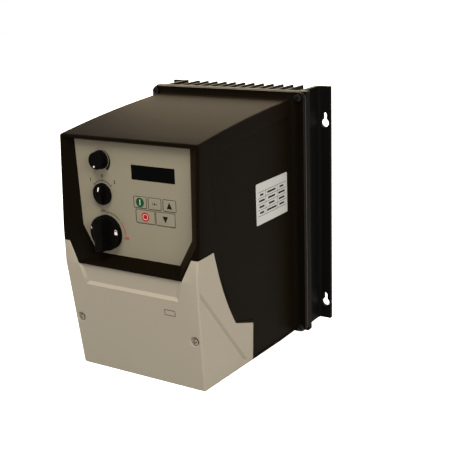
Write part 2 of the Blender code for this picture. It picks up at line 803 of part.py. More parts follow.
def main_cavity():
    """Space behind the cover's rear edge and behind the control panel."""
    w = HOUSING_WALL
    rear = RIM_REAR - OVERSHOOT
    profile = [(rear, w), (COVER_HEEL_DEPTH - w, w), (COVER_HEEL_DEPTH - w, COVER_HEEL_Z + w)]
    steps = 5
    for i in range(steps + 1):
        z = blend(COVER_SHOULDER_Z, COVER_PEAK_Z, i / steps)
        profile.append((cover_rear(z) - w, z + w))
    profile.append((LEDGE_REAR, COVER_PEAK_Z + w))
    for i in range(steps + 1):
        depth = blend(LEDGE_REAR, rear, i / steps)
        profile.append((depth, top_z(depth) - w))
    return body_prism("main_cavity", profile, w)


def core_front(z, inset=0.0):
    """Depth of the housing's front wall behind the terminal cover and its seal."""
    return front_depth(z) - COVER_WALL - COVER_SEAL_SPACE - inset


def core_profile(inset, rear, high):
    """Side view of the stepped-in part of the housing that the cover slips over."""
    low = COVER_WALL + GAP + inset
    profile = [(rear, low), (core_front(low, inset), low), (core_front(NOSE_Z, inset), NOSE_Z)]
    if high > NOSE_Z:
        profile.append((core_front(high, inset), high))
    return profile + [(rear, high)]


def terminal_bay():
    """Space inside the stepped-in part, open to the rest of the housing."""
    w = HOUSING_WALL
    low = COVER_WALL + GAP + w
    high = NOSE_Z - w
    rear = COVER_HEEL_DEPTH - w - OVERSHOOT
    roof = COVER_PEAK_Z + 2 * w
    profile = [(rear, low), (core_front(low, w), low), (core_front(high, w), high)]
    profile += [(LEDGE_REAR, high), (LEDGE_REAR, roof), (rear, roof)]
    return body_prism("terminal_bay", profile, COVER_WALL + GAP + w)


def cover_zone(gap):
    """Region that belongs to the terminal cover, drawn in by a gap at its joint with the housing."""
    far = NOSE_DEPTH + 2 * OVERSHOOT
    wide = BODY_REAR_WIDTH
    steps = 8
    top = COVER_TOP_Z - gap
    heel = COVER_HEEL_DEPTH + gap
    profile = [(heel, -OVERSHOOT), (heel, COVER_HEEL_Z - gap)]
    for i in range(steps + 1):
        z = blend(COVER_SHOULDER_Z, COVER_PEAK_Z, i / steps)
        profile.append((cover_rear(z) + gap, z - gap))
    profile += [(NOSE_DEPTH, top), (far, top), (far, -OVERSHOOT)]
    zone = prism_across("cover_zone", profile, lambda d: -wide, lambda d: wide)
    ear = CHIN_EAR_WIDTH / 2 + gap
    chin = CHIN_WIDTH / 2 + gap
    low = NOSE_Z - gap
    high = COVER_PEAK_Z + OVERSHOOT
    slope = (CHIN_EAR_WIDTH - CHIN_WIDTH) / 2 / (COVER_TOP_Z - NOSE_Z)
    over = ear + slope * (high - top)
    outline = [(-wide - OVERSHOOT, -2 * OVERSHOOT), (wide + OVERSHOOT, -2 * OVERSHOOT)]
    outline += [(wide + OVERSHOOT, high), (over, high), (chin, low), (-chin, low), (-over, high)]
    outline += [(-wide - OVERSHOOT, high)]
    front_view = prism_along_depth("front_view", outline, 0, far + OVERSHOOT)
    return combine(zone, front_view, "INTERSECT")


def panel_outline(grow):
    """Six-sided outline of the control panel, grown by a distance, counter-clockwise from lower right."""
    top = PANEL_TOP_WIDTH / 2 + grow
    waist = PANEL_WAIST_WIDTH / 2 + grow
    foot = PANEL_FOOT_WIDTH / 2 + grow / 2
    high = PANEL_TOP_Z + grow
    low = PANEL_FOOT_Z - grow
    right = [(foot, low), (waist, PANEL_WAIST_Z), (top, high)]
    return right + [(-x, z) for x, z in reversed(right)]


def make_recess():
    """Hooded recess: a straight seat for the panel, then walls that flare out to the hood's lip."""
    seat = panel_outline(GAP)
    foot = CHIN_WIDTH / 2 - HOOD_LIP / 2
    waist = half_width(front_depth(HOOD_FLARE_Z)) - HOOD_LIP
    top = half_width(HOOD_DEPTH) - HOOD_LIP
    low = NOSE_Z + HOOD_LIP
    high = TOP_FRONT_Z - HOOD_LIP
    right = [(foot, low), (waist, HOOD_FLARE_Z), (top, high)]
    mouth = right + [(-x, z) for x, z in reversed(right)]
    loops = []
    for depth in (LEDGE_FRONT, PANEL_DEPTH):
        loops.append([(x, at(depth), z) for x, z in seat])
    loops.append([(x, at(front_depth(z)), z) for x, z in mouth])
    loops.append([(x, at(front_depth(z) + OVERSHOOT), z) for x, z in mouth])
    return loft("recess", loops)


def side_recess(side):
    """Shallow sunk field on one side of the body, behind the step that sweeps down to the cover."""
    steps = 6
    rear = RIM_FRONT + COVE
    upper = TOP_FRONT_Z - SIDE_RECESS_TOP
    profile = []
    for i in range(steps + 1):
        depth = blend(rear, COVER_PEAK_DEPTH + SIDE_RECESS_LEAN, i / steps)
        profile.append((depth, top_z(depth) - SIDE_RECESS_TOP))
    corner = COVER_PEAK_DEPTH + SIDE_RECESS_LEAN - SIDE_RECESS_STRIP
    profile.append((corner, upper - SIDE_RECESS_TOP))
    for i in range(steps + 1):
        z = blend(COVER_PEAK_Z, COVER_SHOULDER_Z, i / steps)
        profile.append((cover_rear(z) - SIDE_RECESS_STRIP, z))
    heel = COVER_HEEL_DEPTH - SIDE_RECESS_STRIP
    profile += [(heel, COVER_HEEL_Z + SIDE_RECESS_STRIP), (heel, HOUSING_WALL)]
    profile.append((rear, HOUSING_WALL))
    return skin_cutter("side_recess", profile, side, SIDE_RECESS)


def access_outline(grow):
    """Opening of the terminal bay, grown by a distance."""
    height = ACCESS_HIGH_Z - ACCESS_LOW_Z
    middle = (ACCESS_HIGH_Z + ACCESS_LOW_Z) / 2
    corner = RIM_CORNER + grow
    return rounded_rectangle(0, middle, ACCESS_WIDTH + 2 * grow, height + 2 * grow, corner)


def entry_places():
    """Cable entries in the bottom wall, as (x, radius)."""
    power = ENTRY_POWER_RADIUS
    return [(-ENTRY_PITCH, power), (0, ENTRY_CONTROL_RADIUS), (ENTRY_PITCH, power)]


def cover_screw_places():
    """Centres of the two cover screws, as (x, z)."""
    return [(-COVER_SCREW_X, COVER_SCREW_Z), (COVER_SCREW_X, COVER_SCREW_Z)]


def housing_holes():
    """Screw holes, counterbores and cable entries of the housing."""
    holes = []
    for x, z in rim_screw_places():
        hole = SCREW_RADIUS + HOLE_PLAY
        seat = SCREW_HEAD + 2 * HOLE_PLAY
        deep = RIM_FRONT + 2 * COVE
        rear = RIM_REAR - OVERSHOOT
        profile = [(0, rear), (hole, rear), (hole, RIM_FRONT), (seat, RIM_FRONT)]
        profile += [(seat, deep), (0, deep)]
        holes.append(turned("rim_hole", profile, facing_front(x, z), SMALL_ROUND))
    for x, radius in entry_places():
        high = HOUSING_WALL + OVERSHOOT
        profile = [(0, -OVERSHOOT), (radius, -OVERSHOOT), (radius, high), (0, high)]
        holes.append(turned("entry", profile, facing_up(x, ENTRY_DEPTH)))
    for x, z in cover_screw_places():
        start = front_depth(z)
        rear = start - 2 * COVER_SCREW_LENGTH
        holes.append(plain_hole(x, z, SCREW_RADIUS + HOLE_PLAY, rear, start))
    return join("housing_holes", holes)


def make_housing(body):
    """Black shell: rim, domed body, hood round the panel, and the stepped-in bay behind the cover."""
    housing = combine(copy_of(body, "housing"), make_rim(), "UNION")
    profile = core_profile(0, 0, COVER_PEAK_Z + HOUSING_WALL)
    core = body_prism("core", profile, COVER_WALL + GAP)
    combine(housing, combine(cover_zone(0), core))
    combine(housing, main_cavity())
    combine(housing, terminal_bay())
    combine(housing, make_recess())
    opening = panel_outline(-LEDGE)
    rear = LEDGE_REAR - OVERSHOOT
    combine(housing, prism_along_depth("ledge", opening, rear, LEDGE_FRONT + OVERSHOOT))
    reach = core_front(ACCESS_LOW_Z, 2 * HOUSING_WALL)
    combine(housing, prism_along_depth("access", access_outline(0), reach, NOSE_DEPTH))
    for side in (-1, 1):
        combine(housing, side_recess(side))
    combine(housing, housing_holes())
    close_slivers(housing)
    return finish(housing, "black_plastic")


def make_housing_gasket():
    """Flat seal between the sink's base and the housing's rim."""
    half = BASE_WIDTH / 2
    inner = half_width(RIM_REAR) - HOUSING_WALL
    roof = top_z(RIM_REAR) - HOUSING_WALL
    rear = BASE_FRONT + GAP
    tall = FLANGE_HEIGHT - 2 * GAP
    outline = rounded_rectangle(0, FLANGE_HEIGHT / 2, 2 * half - 2 * GAP, tall, RIM_CORNER)
    seal = prism_along_depth("housing_gasket", outline, rear, rear + SEAL_THICK)
    middle = (roof + HOUSING_WALL) / 2
    window = rounded_rectangle(0, middle, 2 * inner, roof - HOUSING_WALL, RIM_CORNER)
    before = rear - OVERSHOOT
    after = rear + OVERSHOOT
    cutters = [prism_along_depth("window", window, before, after)]
    for x, z in rim_screw_places():
        cutters.append(plain_hole(x, z, SCREW_RADIUS + HOLE_PLAY, before, after))
    return finish(combine(seal, join("gasket_cutters", cutters)), "rubber_seal")


def make_screw(name, x, z, seat, tip, colour="steel", head=SCREW_HEAD, height=SCREW_HEAD_HEIGHT):
    """Pan-head screw driven from the front, seated at a depth."""
    r = SCREW_RADIUS
    crown = seat + height
    profile = [(0, tip), (r * 0.6, tip), (r, tip + r * 0.5), (r, seat), (head, seat)]
    profile += [(head, seat + height * 0.45), (head * 0.72, crown), (0, crown)]
    return finish(turned(name, profile, facing_front(x, z), SMALL_ROUND), colour)


def make_housing_screws():
    """Four screws that clamp the rim to the sink."""
    for x, z in rim_screw_places():
        name = corner_name("housing_screw", x, z)
        make_screw(name, x, z, RIM_FRONT + GAP, BASE_FRONT - SCREW_GRIP)


def make_cable_entry_plugs():
    """Blanking plugs that close the cable entries, flush below and lipped inside."""
    seat = HOUSING_WALL + GAP
    crown = seat + PLUG_LIP_THICK
    for name, (x, radius) in zip(("left", "middle", "right"), entry_places()):
        shank = radius - GAP
        lip = radius + PLUG_LIP
        profile = [(0, PLUG_RECESS), (shank, PLUG_RECESS), (shank, seat)]
        profile += [(lip, seat), (lip, crown), (0, crown)]
        plug = turned("entry_plug_" + name, profile, facing_up(x, ENTRY_DEPTH))
        finish(plug, "knob_plastic")


# Terminal cover


def pocket_cutter():
    """Sunk field under the chin, with sloping edges at its foot and its sides."""
    top = NOSE_Z
    foot = POCKET_FLOOR_WIDTH / 2
    wide = CHIN_WIDTH / 2 + GAP
    low = POCKET_FLOOR_Z
    s = POCKET_SLOPE
    deep = [(-foot, low), (foot, low), (wide - s, top), (s - wide, top)]
    edge = [(-foot - s, low - s), (foot + s, low - s), (wide, top), (-wide, top)]
    lean = (NOSE_DEPTH - FOOT_DEPTH) / NOSE_Z

    def face(z):
        return FOOT_DEPTH + lean * z

    loops = [[(x, at(face(z) - POCKET_DEPTH), z) for x, z in deep]]
    loops.append([(x, at(face(z)), z) for x, z in edge])
    loops.append([(x, at(face(z) + OVERSHOOT), z) for x, z in edge])
    return loft("pocket", loops)


def groove_cutter(side):
    """Diagonal groove down one side of the cover, whose floor falls from its upper to its lower edge."""
    top_depth = front_depth(GROOVE_TOP_Z) - GROOVE_SETBACK
    rise = GROOVE_TOP_Z / (top_depth - GROOVE_FOOT_DEPTH)
    across = GROOVE_WIDTH * math.sqrt(1 + rise * rise)
    upper_end = GROOVE_FOOT_DEPTH + GROOVE_FOOT_RISE / rise
    lower_end = GROOVE_FOOT_DEPTH + (2 * GROOVE_FOOT_RISE + across) / rise
    outline = [
        (top_depth, GROOVE_TOP_Z, -GAP),
        (top_depth, GROOVE_TOP_Z - across, GROOVE_DEPTH),
        (lower_end, 2 * GROOVE_FOOT_RISE, GROOVE_DEPTH),
        (upper_end, GROOVE_FOOT_RISE, -GAP),
    ]
    floor = [(side * (fold_half(d, z) - sink), at(d), z) for d, z, sink in outline]
    mouth = [(side * (fold_half(d, z) + OVERSHOOT), at(d), z) for d, z, sink in outline]
    return loft("groove", [floor, mouth])


def dish_cutter(x, z):
    """Shallow cone round a cover screw, which follows the leaning front and opens out past it."""
    mouth = 2 * COVER_DISH_RADIUS - COVER_SCREW_HEAD
    loops = []
    for radius, rise in ((COVER_SCREW_HEAD, -COVER_DISH_DEPTH), (mouth, COVER_DISH_DEPTH)):
        circle = arc(x, z, radius, 0, 360, MIDDLE_ROUND)[:-1]
        loops.append([(px, at(front_depth(pz) + rise), pz) for px, pz in circle])
    return loft("dish", loops)


def make_terminal_cover(body):
    """Grey cover over the terminals: front, sides and bottom in one moulding, open to the rear."""
    cover = combine(copy_of(body, "terminal_cover"), cover_zone(GAP), "INTERSECT")
    low = COVER_WALL
    high = COVER_PEAK_Z + OVERSHOOT
    profile = [(0, low), (front_depth(low) - COVER_WALL, low), (NOSE_DEPTH - COVER_WALL, NOSE_Z)]
    profile += [(front_depth(high) - COVER_WALL, high), (0, high)]
    combine(cover, body_prism("cover_inside", profile, COVER_WALL))
    combine(cover, pocket_cutter())
    for side in (-1, 1):
        combine(cover, groove_cutter(side))
    holes = []
    for x, z in cover_screw_places():
        combine(cover, dish_cutter(x, z))
        face = front_depth(z)
        seat = face - COVER_SCREW_SINK
        hole = SCREW_RADIUS + HOLE_PLAY
        wide = COVER_SCREW_HEAD + 2 * HOLE_PLAY
        rear = face - 2 * COVER_WALL
        profile = [(0, rear), (hole, rear), (hole, seat), (wide, seat)]
        profile += [(wide, face + OVERSHOOT), (0, face + OVERSHOOT)]
        holes.append(turned("hole", profile, facing_front(x, z), SMALL_ROUND))
    combine(cover, join("cover_holes", holes))
    close_slivers(cover)
    return finish(cover, "grey_plastic")


def make_cover_gasket():
    """Seal that follows the leaning front wall round the terminal bay's opening."""

    def rear(z):
        return core_front(z) + GAP

    def front(z):
        return rear(z) + COVER_SEAL_THICK

    margin = COVER_SEAL_MARGIN
    outer = access_outline(margin + COVER_SEAL_WIDTH)
    seal = prism_along_depth("cover_gasket", outer, rear, front)
    window = prism_along_depth("window", access_outline(margin), FOOT_DEPTH / 2, NOSE_DEPTH)
    return finish(combine(seal, window), "rubber_seal")


def make_cover_screws():
    """Two low-headed captive screws that hold the cover."""
    size = {"head": COVER_SCREW_HEAD, "height": COVER_SCREW_HEAD_HEIGHT}
    for name, (x, z) in zip(("left", "right"), cover_screw_places()):
        seat = front_depth(z) - COVER_SCREW_SINK + GAP
        make_screw("cover_screw_" + name, x, z, seat, seat - COVER_SCREW_LENGTH, **size)


# Control panel, display and keys


def key_places():
    """Keys as name to (x, z, width, height)."""
    upper = (UPPER_KEY_Z, UPPER_KEY_WIDTH, UPPER_KEY_HEIGHT)
    lower = (LOWER_KEY_Z, LOWER_KEY_WIDTH, LOWER_KEY_HEIGHT)
    return {
        "start_key": (KEYPAD_X - UPPER_KEY_PITCH, *upper),
        "navigate_key": (KEYPAD_X, *upper),
        "up_key": (KEYPAD_X + UPPER_KEY_PITCH, *upper),
        "stop_key": (KEYPAD_X - LOWER_KEY_PITCH / 2, *lower),
        "down_key": (KEYPAD_X + LOWER_KEY_PITCH / 2, *lower),
    }


def panel_boss_places():
    """Bosses on the panel's back that carry the control board, as (x, z)."""
    right = PANEL_WAIST_WIDTH / 2 - LEDGE - 2 * BOSS_RADIUS
    high = PANEL_TOP_Z - LEDGE - 2 * BOSS_RADIUS
    low = LOWER_KEY_Z - LOWER_KEY_HEIGHT / 2 - KEY_LIP - 2 * BOSS_RADIUS
    return [(-right, high), (right, high), (right, low)]


def make_control_panel():
    """Grey six-sided panel with openings for the window, the keys and the three spindles."""
    panel = prism_along_depth("control_panel", panel_outline(0), PANEL_REAR, PANEL_DEPTH)
    for x, z in panel_boss_places():
        boss = plain_hole(x, z, BOSS_RADIUS, BOARD_FRONT + GAP, PANEL_REAR + PANEL_THICK / 2)
        combine(panel, boss, "UNION")
    rear = PANEL_REAR - OVERSHOOT
    front = PANEL_DEPTH + OVERSHOOT
    wide = DISPLAY_WIDTH + 2 * GAP
    tall = DISPLAY_HEIGHT + 2 * GAP
    cutters = [box("window", DISPLAY_X, DISPLAY_Z, wide, tall, rear, front)]
    for x, z, width, height in key_places().values():
        outline = rounded_rectangle(x, z, width + 2 * GAP, height + 2 * GAP, KEY_CORNER + GAP, 2)
        cutters.append(prism_along_depth("key_hole", outline, rear, front))
    bush = BUSH_RADIUS + HOLE_PLAY
    neck = ISOLATOR_NECK_RADIUS + HOLE_PLAY
    cutters.append(plain_hole(SPEED_X, SPEED_Z, bush, rear, front, ROUND))
    cutters.append(plain_hole(SELECTOR_X, SELECTOR_Z, bush, rear, front, ROUND))
    cutters.append(plain_hole(ISOLATOR_X, ISOLATOR_Z, neck, rear, front, ROUND))
    for x, z in panel_boss_places():
        deep = BOARD_FRONT + BOSS_BORE_DEPTH
        cutters.append(plain_hole(x, z, BOSS_BORE / 2, BOARD_FRONT - OVERSHOOT, deep))
    return finish(combine(panel, join("panel_cutters", cutters)), "panel_film")


def make_display():
    """Tinted window and the numeral display behind it."""
    back = PANEL_DEPTH - WINDOW_THICK
    x = DISPLAY_X
    z = DISPLAY_Z
    window = box("display_window", x, z, DISPLAY_WIDTH, DISPLAY_HEIGHT, back, PANEL_DEPTH)
    finish(window, "tinted_window")
    width = DISPLAY_WIDTH - DISPLAY_MODULE_MARGIN
    height = DISPLAY_HEIGHT - DISPLAY_MODULE_MARGIN / 2
    module = box("display_module", x, z, width, height, BOARD_FRONT + GAP, back - GAP)
    finish(module, "module_black")


def make_keys():
    """Five keys that slide in the panel, each on its own axis, and the switches that they press."""
    lip_front = PANEL_REAR - GAP
    lip_rear = lip_front - KEY_LIP_THICK
    for name, (x, z, width, height) in key_places().items():
        cap = rounded_rectangle(x, z, width, height, KEY_CORNER, 2)
        wide = width + 2 * KEY_LIP
        tall = height + 2 * KEY_LIP
        lip = rounded_rectangle(x, z, wide, tall, KEY_CORNER, 2)
        crown = PANEL_DEPTH + KEY_PROUD
        steps = ((lip, lip_rear), (lip, lip_front), (cap, lip_front), (cap, crown))
        loops = []
        for outline, depth in steps:
            loops.append([(px, at(depth), pz) for px, pz in outline])
        key = loft(name, loops)
        pivot(key, x, z, PANEL_DEPTH)
        finish(key, "panel_film")
        switch = name.replace("key", "switch")
        top = lip_rear - KEY_TRAVEL - GAP
        finish(box(switch, x, z, KEY_SWITCH, KEY_SWITCH, BOARD_FRONT + GAP, top), "module_black")


# Rotary controls


def make_knob_shell(name, x, z, radius, height, base, taper):
    """Round knob with a hollow underside for the nut and a blind bore for the spindle."""
    foot = PANEL_DEPTH + KNOB_STANDOFF
    crown = PANEL_DEPTH + height
    bore = SHAFT_RADIUS + GAP
    hollow = NUT_RADIUS + 2 * HOLE_PLAY
    nut_top = PANEL_DEPTH + GAP + NUT_THICK
    bush_top = PANEL_DEPTH + BUSH_STAND
    ceiling = max(nut_top, bush_top) + 2 * GAP
    end = crown - KNOB_WALL
    slim = radius * taper
    profile = [(0, end), (bore, end), (bore, ceiling), (hollow, ceiling), (hollow, foot), (radius, foot)]
    profile += [(radius, foot + base), (slim, foot + base + GAP), (slim, crown - KNOB_WALL / 2)]
    profile += [(slim - KNOB_WALL / 2, crown), (0, crown)]
    return turned(name, profile, facing_front(x, z))


def make_spindle(name, x, z, end, start):
    """Round spindle along the depth."""
    profile = [(0, start), (SHAFT_RADIUS, start), (SHAFT_RADIUS, end), (0, end)]
    spindle = turned(name, profile, facing_front(x, z))
    pivot(spindle, x, z, PANEL_DEPTH)
    return finish(spindle, "steel")


def make_bushed_body(name, x, z, body_outline, thick, colour):
    """Panel-mounted switch or potentiometer: a body behind the panel and a bush through it."""
    front = PANEL_REAR - GAP
    body = prism_along_depth(name, body_outline, front - thick, front)
    top = PANEL_DEPTH + BUSH_STAND
    bush = plain_hole(x, z, BUSH_RADIUS, front - thick / 2, top, ROUND)
    combine(body, bush, "UNION")
    seat = front - SHAFT_SOCKET
    socket = plain_hole(x, z, SHAFT_RADIUS + GAP, seat, top + OVERSHOOT, ROUND)
    return finish(combine(body, socket), colour)


def make_nut(name, x, z, bush, radius):
    """Hexagonal nut on a bush, hidden under its knob."""
    low = PANEL_DEPTH + GAP
    profile = [(0, low), (radius, low), (radius, low + NUT_THICK), (0, low + NUT_THICK)]
    nut = turned(name, profile, facing_front(x, z), 6)
    thread = plain_hole(x, z, bush + GAP, low - OVERSHOOT, low + OVERSHOOT, ROUND)
    return finish(combine(nut, thread), "brass")


def make_speed_control():
    """Potentiometer with its knob, spindle and nut."""
    front = PANEL_REAR - GAP
    x = SPEED_X
    z = SPEED_Z
    knob = make_knob_shell("speed_knob", x, z, SPEED_RADIUS, SPEED_HEIGHT, KNOB_WALL, SPEED_TAPER)
    pivot(knob, x, z, PANEL_DEPTH)
    finish(knob, "knob_plastic")
    end = PANEL_DEPTH + SPEED_HEIGHT - KNOB_WALL - GAP
    make_spindle("potentiometer_shaft", x, z, end, front - SHAFT_SOCKET + GAP)
    outline = arc(x, z, POT_RADIUS, 0, 360 - 360 / ROUND, ROUND - 1)
    make_bushed_body("potentiometer", x, z, outline, POT_THICK, "module_black")
    make_nut("potentiometer_nut", x, z, BUSH_RADIUS, NUT_RADIUS)


def make_knob_base(name, x, z, radius, height, nut):
    """Round foot of a knob with a hollow for the nut below it."""
    foot = PANEL_DEPTH + KNOB_STANDOFF
    crown = PANEL_DEPTH + height
    hollow = nut + 2 * HOLE_PLAY
    ceiling = PANEL_DEPTH + max(NUT_THICK + GAP, BUSH_STAND) + 2 * GAP
    edge = KNOB_WALL / 2
    profile = [(0, ceiling), (hollow, ceiling), (hollow, foot), (radius, foot), (radius, crown - edge)]
    profile += [(radius - edge, crown), (0, crown)]
    return turned(name, profile, facing_front(x, z), 40)


def grip_outline(x, z, width, length):
    """Outline of a finger grip with round ends, upright at rest."""
    return rounded_rectangle(x, z, width, length, width / 2 - GAP, 4)


def make_selector():
    """Three-position selector: a round base with a finger grip, its spindle, nut and switch body."""
    front = PANEL_REAR - GAP
    crown = PANEL_DEPTH + SELECTOR_HEIGHT
    x = SELECTOR_X
    z = SELECTOR_Z
    knob = make_knob_base("selector_knob", x, z, SELECTOR_RADIUS, SELECTOR_BASE, NUT_RADIUS)
    outline = grip_outline(x, z, SELECTOR_GRIP, 2 * SELECTOR_RADIUS * SELECTOR_GRIP_SPAN)
    grip = prism_along_depth("grip", outline, PANEL_DEPTH + SELECTOR_BASE - KNOB_WALL / 3, crown)
    combine(knob, soften(grip, KNOB_WALL / 2), "UNION")
    end = crown - KNOB_WALL
    combine(knob, plain_hole(x, z, SHAFT_RADIUS + GAP, PANEL_DEPTH, end, ROUND))
    pivot(knob, x, z, PANEL_DEPTH)
    finish(knob, "knob_plastic")
    make_spindle("selector_spindle", x, z, end - GAP, front - SHAFT_SOCKET + GAP)
    outline = rectangle(x, z, SELECTOR_BODY, SELECTOR_BODY)
    make_bushed_body("selector_switch", x, z, outline, SELECTOR_BODY_THICK, "module_black")
    make_nut("selector_nut", x, z, BUSH_RADIUS, NUT_RADIUS)


def make_isolator():
    """Lockable isolator: handle, drive shaft and switch body."""
    base = PANEL_DEPTH + ISOLATOR_BASE
    crown = PANEL_DEPTH + ISOLATOR_HEIGHT
    x = ISOLATOR_X
    z = ISOLATOR_Z
    radius = ISOLATOR_RADIUS
    handle = make_knob_base("isolator_handle", x, z, radius, ISOLATOR_BASE, ISOLATOR_NUT_RADIUS)
    outline = grip_outline(x, z, ISOLATOR_GRIP, 2 * radius * ISOLATOR_GRIP_SPAN)
    grip = prism_along_depth("grip", outline, base - KNOB_WALL / 2, crown)
    combine(handle, soften(grip, KNOB_WALL), "UNION")
    bore = ISOLATOR_SHAFT_RADIUS + GAP
    end = crown - 2 * KNOB_WALL
    combine(handle, plain_hole(x, z, bore, PANEL_DEPTH, end, ROUND))
    pivot(handle, x, z, PANEL_DEPTH)
    finish(handle, "knob_plastic")

    body_front = LEDGE_REAR - GAP
    body_rear = body_front - ISOLATOR_BODY_THICK
    size = ISOLATOR_BODY
    switch = box("isolator_switch", x, z, size, size, body_rear, body_front)
    top = PANEL_DEPTH + BUSH_STAND
    neck = plain_hole(x, z, ISOLATOR_NECK_RADIUS, body_rear + SHAFT_SOCKET, top, ROUND)
    combine(switch, neck, "UNION")
    seat = body_front - 2 * SHAFT_SOCKET
    combine(switch, plain_hole(x, z, bore, seat, top + OVERSHOOT, ROUND))
    finish(switch, "module_black")
    make_nut("isolator_nut", x, z, ISOLATOR_NECK_RADIUS, ISOLATOR_NUT_RADIUS)

    sr = ISOLATOR_SHAFT_RADIUS
    profile = [(0, seat + GAP), (sr, seat + GAP), (sr, end - GAP), (0, end - GAP)]
    shaft = turned("isolator_shaft", profile, facing_front(x, z))
    pivot(shaft, x, z, PANEL_DEPTH)
    finish(shaft, "steel")


# Boards and what they carry


def terminal_block(name, x, z, ways, pitch, height, rear, front, colour):
    """Row of terminals with a wire entry below and a screw well in front of each way."""
    width = ways * pitch + pitch / 4
    block = box(name, x, z, width, height, rear, front)
    cutters = []
    for i in range(ways):
        cx = x + pitch * (i - (ways - 1) / 2)
        middle = blend(rear, front, 0.35)
        half = pitch * 0.3
        low = z - height / 2
        mouth = rectangle(cx, middle, 2 * half, 2 * half)
        cutters.append(prism_up("entry", mouth, low - OVERSHOOT, low + height * 0.4))
        well = blend(rear, front, 0.7)
        cutters.append(plain_hole(cx, z + height * 0.15, half, well, front + OVERSHOOT, 8))
    return finish(combine(block, join("ways", cutters)), colour)


def make_control_board():
    """Control board behind the panel, notched round the isolator, with its screws, terminals and port."""
    half = CONTROL_BOARD_WIDTH / 2
    notch = ISOLATOR_BODY / 2 + ISOLATOR_NOTCH_MARGIN
    right = ISOLATOR_X + notch
    low = ISOLATOR_Z - notch
    high = ISOLATOR_Z + notch
    outline = [(-half, CONTROL_BOARD_LOW_Z), (half, CONTROL_BOARD_LOW_Z), (half, CONTROL_BOARD_TOP_Z)]
    outline += [(-half, CONTROL_BOARD_TOP_Z), (-half, high), (right, high), (right, low), (-half, low)]
    board = prism_along_depth("control_board", outline, BOARD_REAR, BOARD_FRONT)
    holes = []
    hole = BOARD_SCREW_RADIUS + HOLE_PLAY
    tip = BOARD_FRONT + BOSS_BORE_DEPTH - 2 * GAP
    for name, (x, z) in zip(("upper_left", "upper_right", "lower_right"), panel_boss_places()):
        holes.append(plain_hole(x, z, hole, BOARD_REAR - OVERSHOOT, BOARD_FRONT + OVERSHOOT))
        make_rear_screw("board_screw_" + name, x, z, BOARD_REAR - GAP, tip)
    finish(combine(board, join("board_holes", holes)), "circuit_board")
    front = BOARD_FRONT + GAP
    terminal_block(
        "control_terminals",
        CONTROL_TERMINAL_X,
        CONTROL_TERMINAL_Z,
        CONTROL_TERMINAL_WAYS,
        CONTROL_TERMINAL_PITCH,
        CONTROL_TERMINAL_HEIGHT,
        front,
        front + CONTROL_TERMINAL_DEPTH,
        "terminal_green",
    )
    width, height, deep = DATA_PORT_SIZE
    port = box("data_port", DATA_PORT_X, DATA_PORT_Z, width, height, front, front + deep)
    wall = deep / 12
    inner = width - 4 * wall
    opening = height - 4 * wall
    floor = front + 2 * wall
    far = front + deep + OVERSHOOT
    combine(port, box("socket", DATA_PORT_X, DATA_PORT_Z, inner, opening, floor, far))
    finish(port, "module_black")


def make_rear_screw(name, x, z, seat, tip):
    """Screw driven from behind: its head lies behind the seat and its tip points to the front."""
    back = seat - BOARD_SCREW_HEAD_HEIGHT
    head = BOARD_SCREW_HEAD
    r = BOARD_SCREW_RADIUS
    edge = back + BOARD_SCREW_HEAD_HEIGHT * 0.5
    profile = [(0, back), (head * 0.8, back), (head, edge), (head, seat)]
    profile += [(r, seat), (r, tip), (0, tip)]
    return finish(turned(name, profile, facing_front(x, z), SMALL_ROUND), "steel")


def make_board_support(name, x, z):
    """One-piece plastic support: a peg in the sink, a collar under the board and a snap head above it."""
    base = BASE_FRONT + GAP
    top = POWER_BOARD_REAR - GAP
    seat = POWER_BOARD_FRONT + GAP
    r = SCREW_RADIUS
    tip = BASE_FRONT - SUPPORT_PEG
    crown = seat + SUPPORT_HEAD
    profile = [(0, tip), (r, tip), (r, base), (SUPPORT_RADIUS, base), (SUPPORT_RADIUS, top), (r, top)]
    profile += [(r, seat), (BOARD_SCREW_HEAD, seat), (r * 0.5, crown), (0, crown)]
    return finish(turned(name, profile, facing_front(x, z), SMALL_ROUND), "support_nylon")


def make_capacitor(name, x):
    """Can with a crimped groove near its foot."""
    seat = POWER_BOARD_FRONT + GAP
    end = seat + CAPACITOR_LENGTH
    r = CAPACITOR_RADIUS
    play = HOLE_PLAY
    profile = [(0, seat), (r, seat), (r, seat + 2 * play), (r - play, seat + 6 * play)]
    profile += [(r, seat + 10 * play), (r, end - 2 * play), (r - 2 * play, end), (0, end)]
    can = turned(name, profile, facing_front(x, CAPACITOR_Z), MIDDLE_ROUND)
    return finish(can, "capacitor_sleeve")


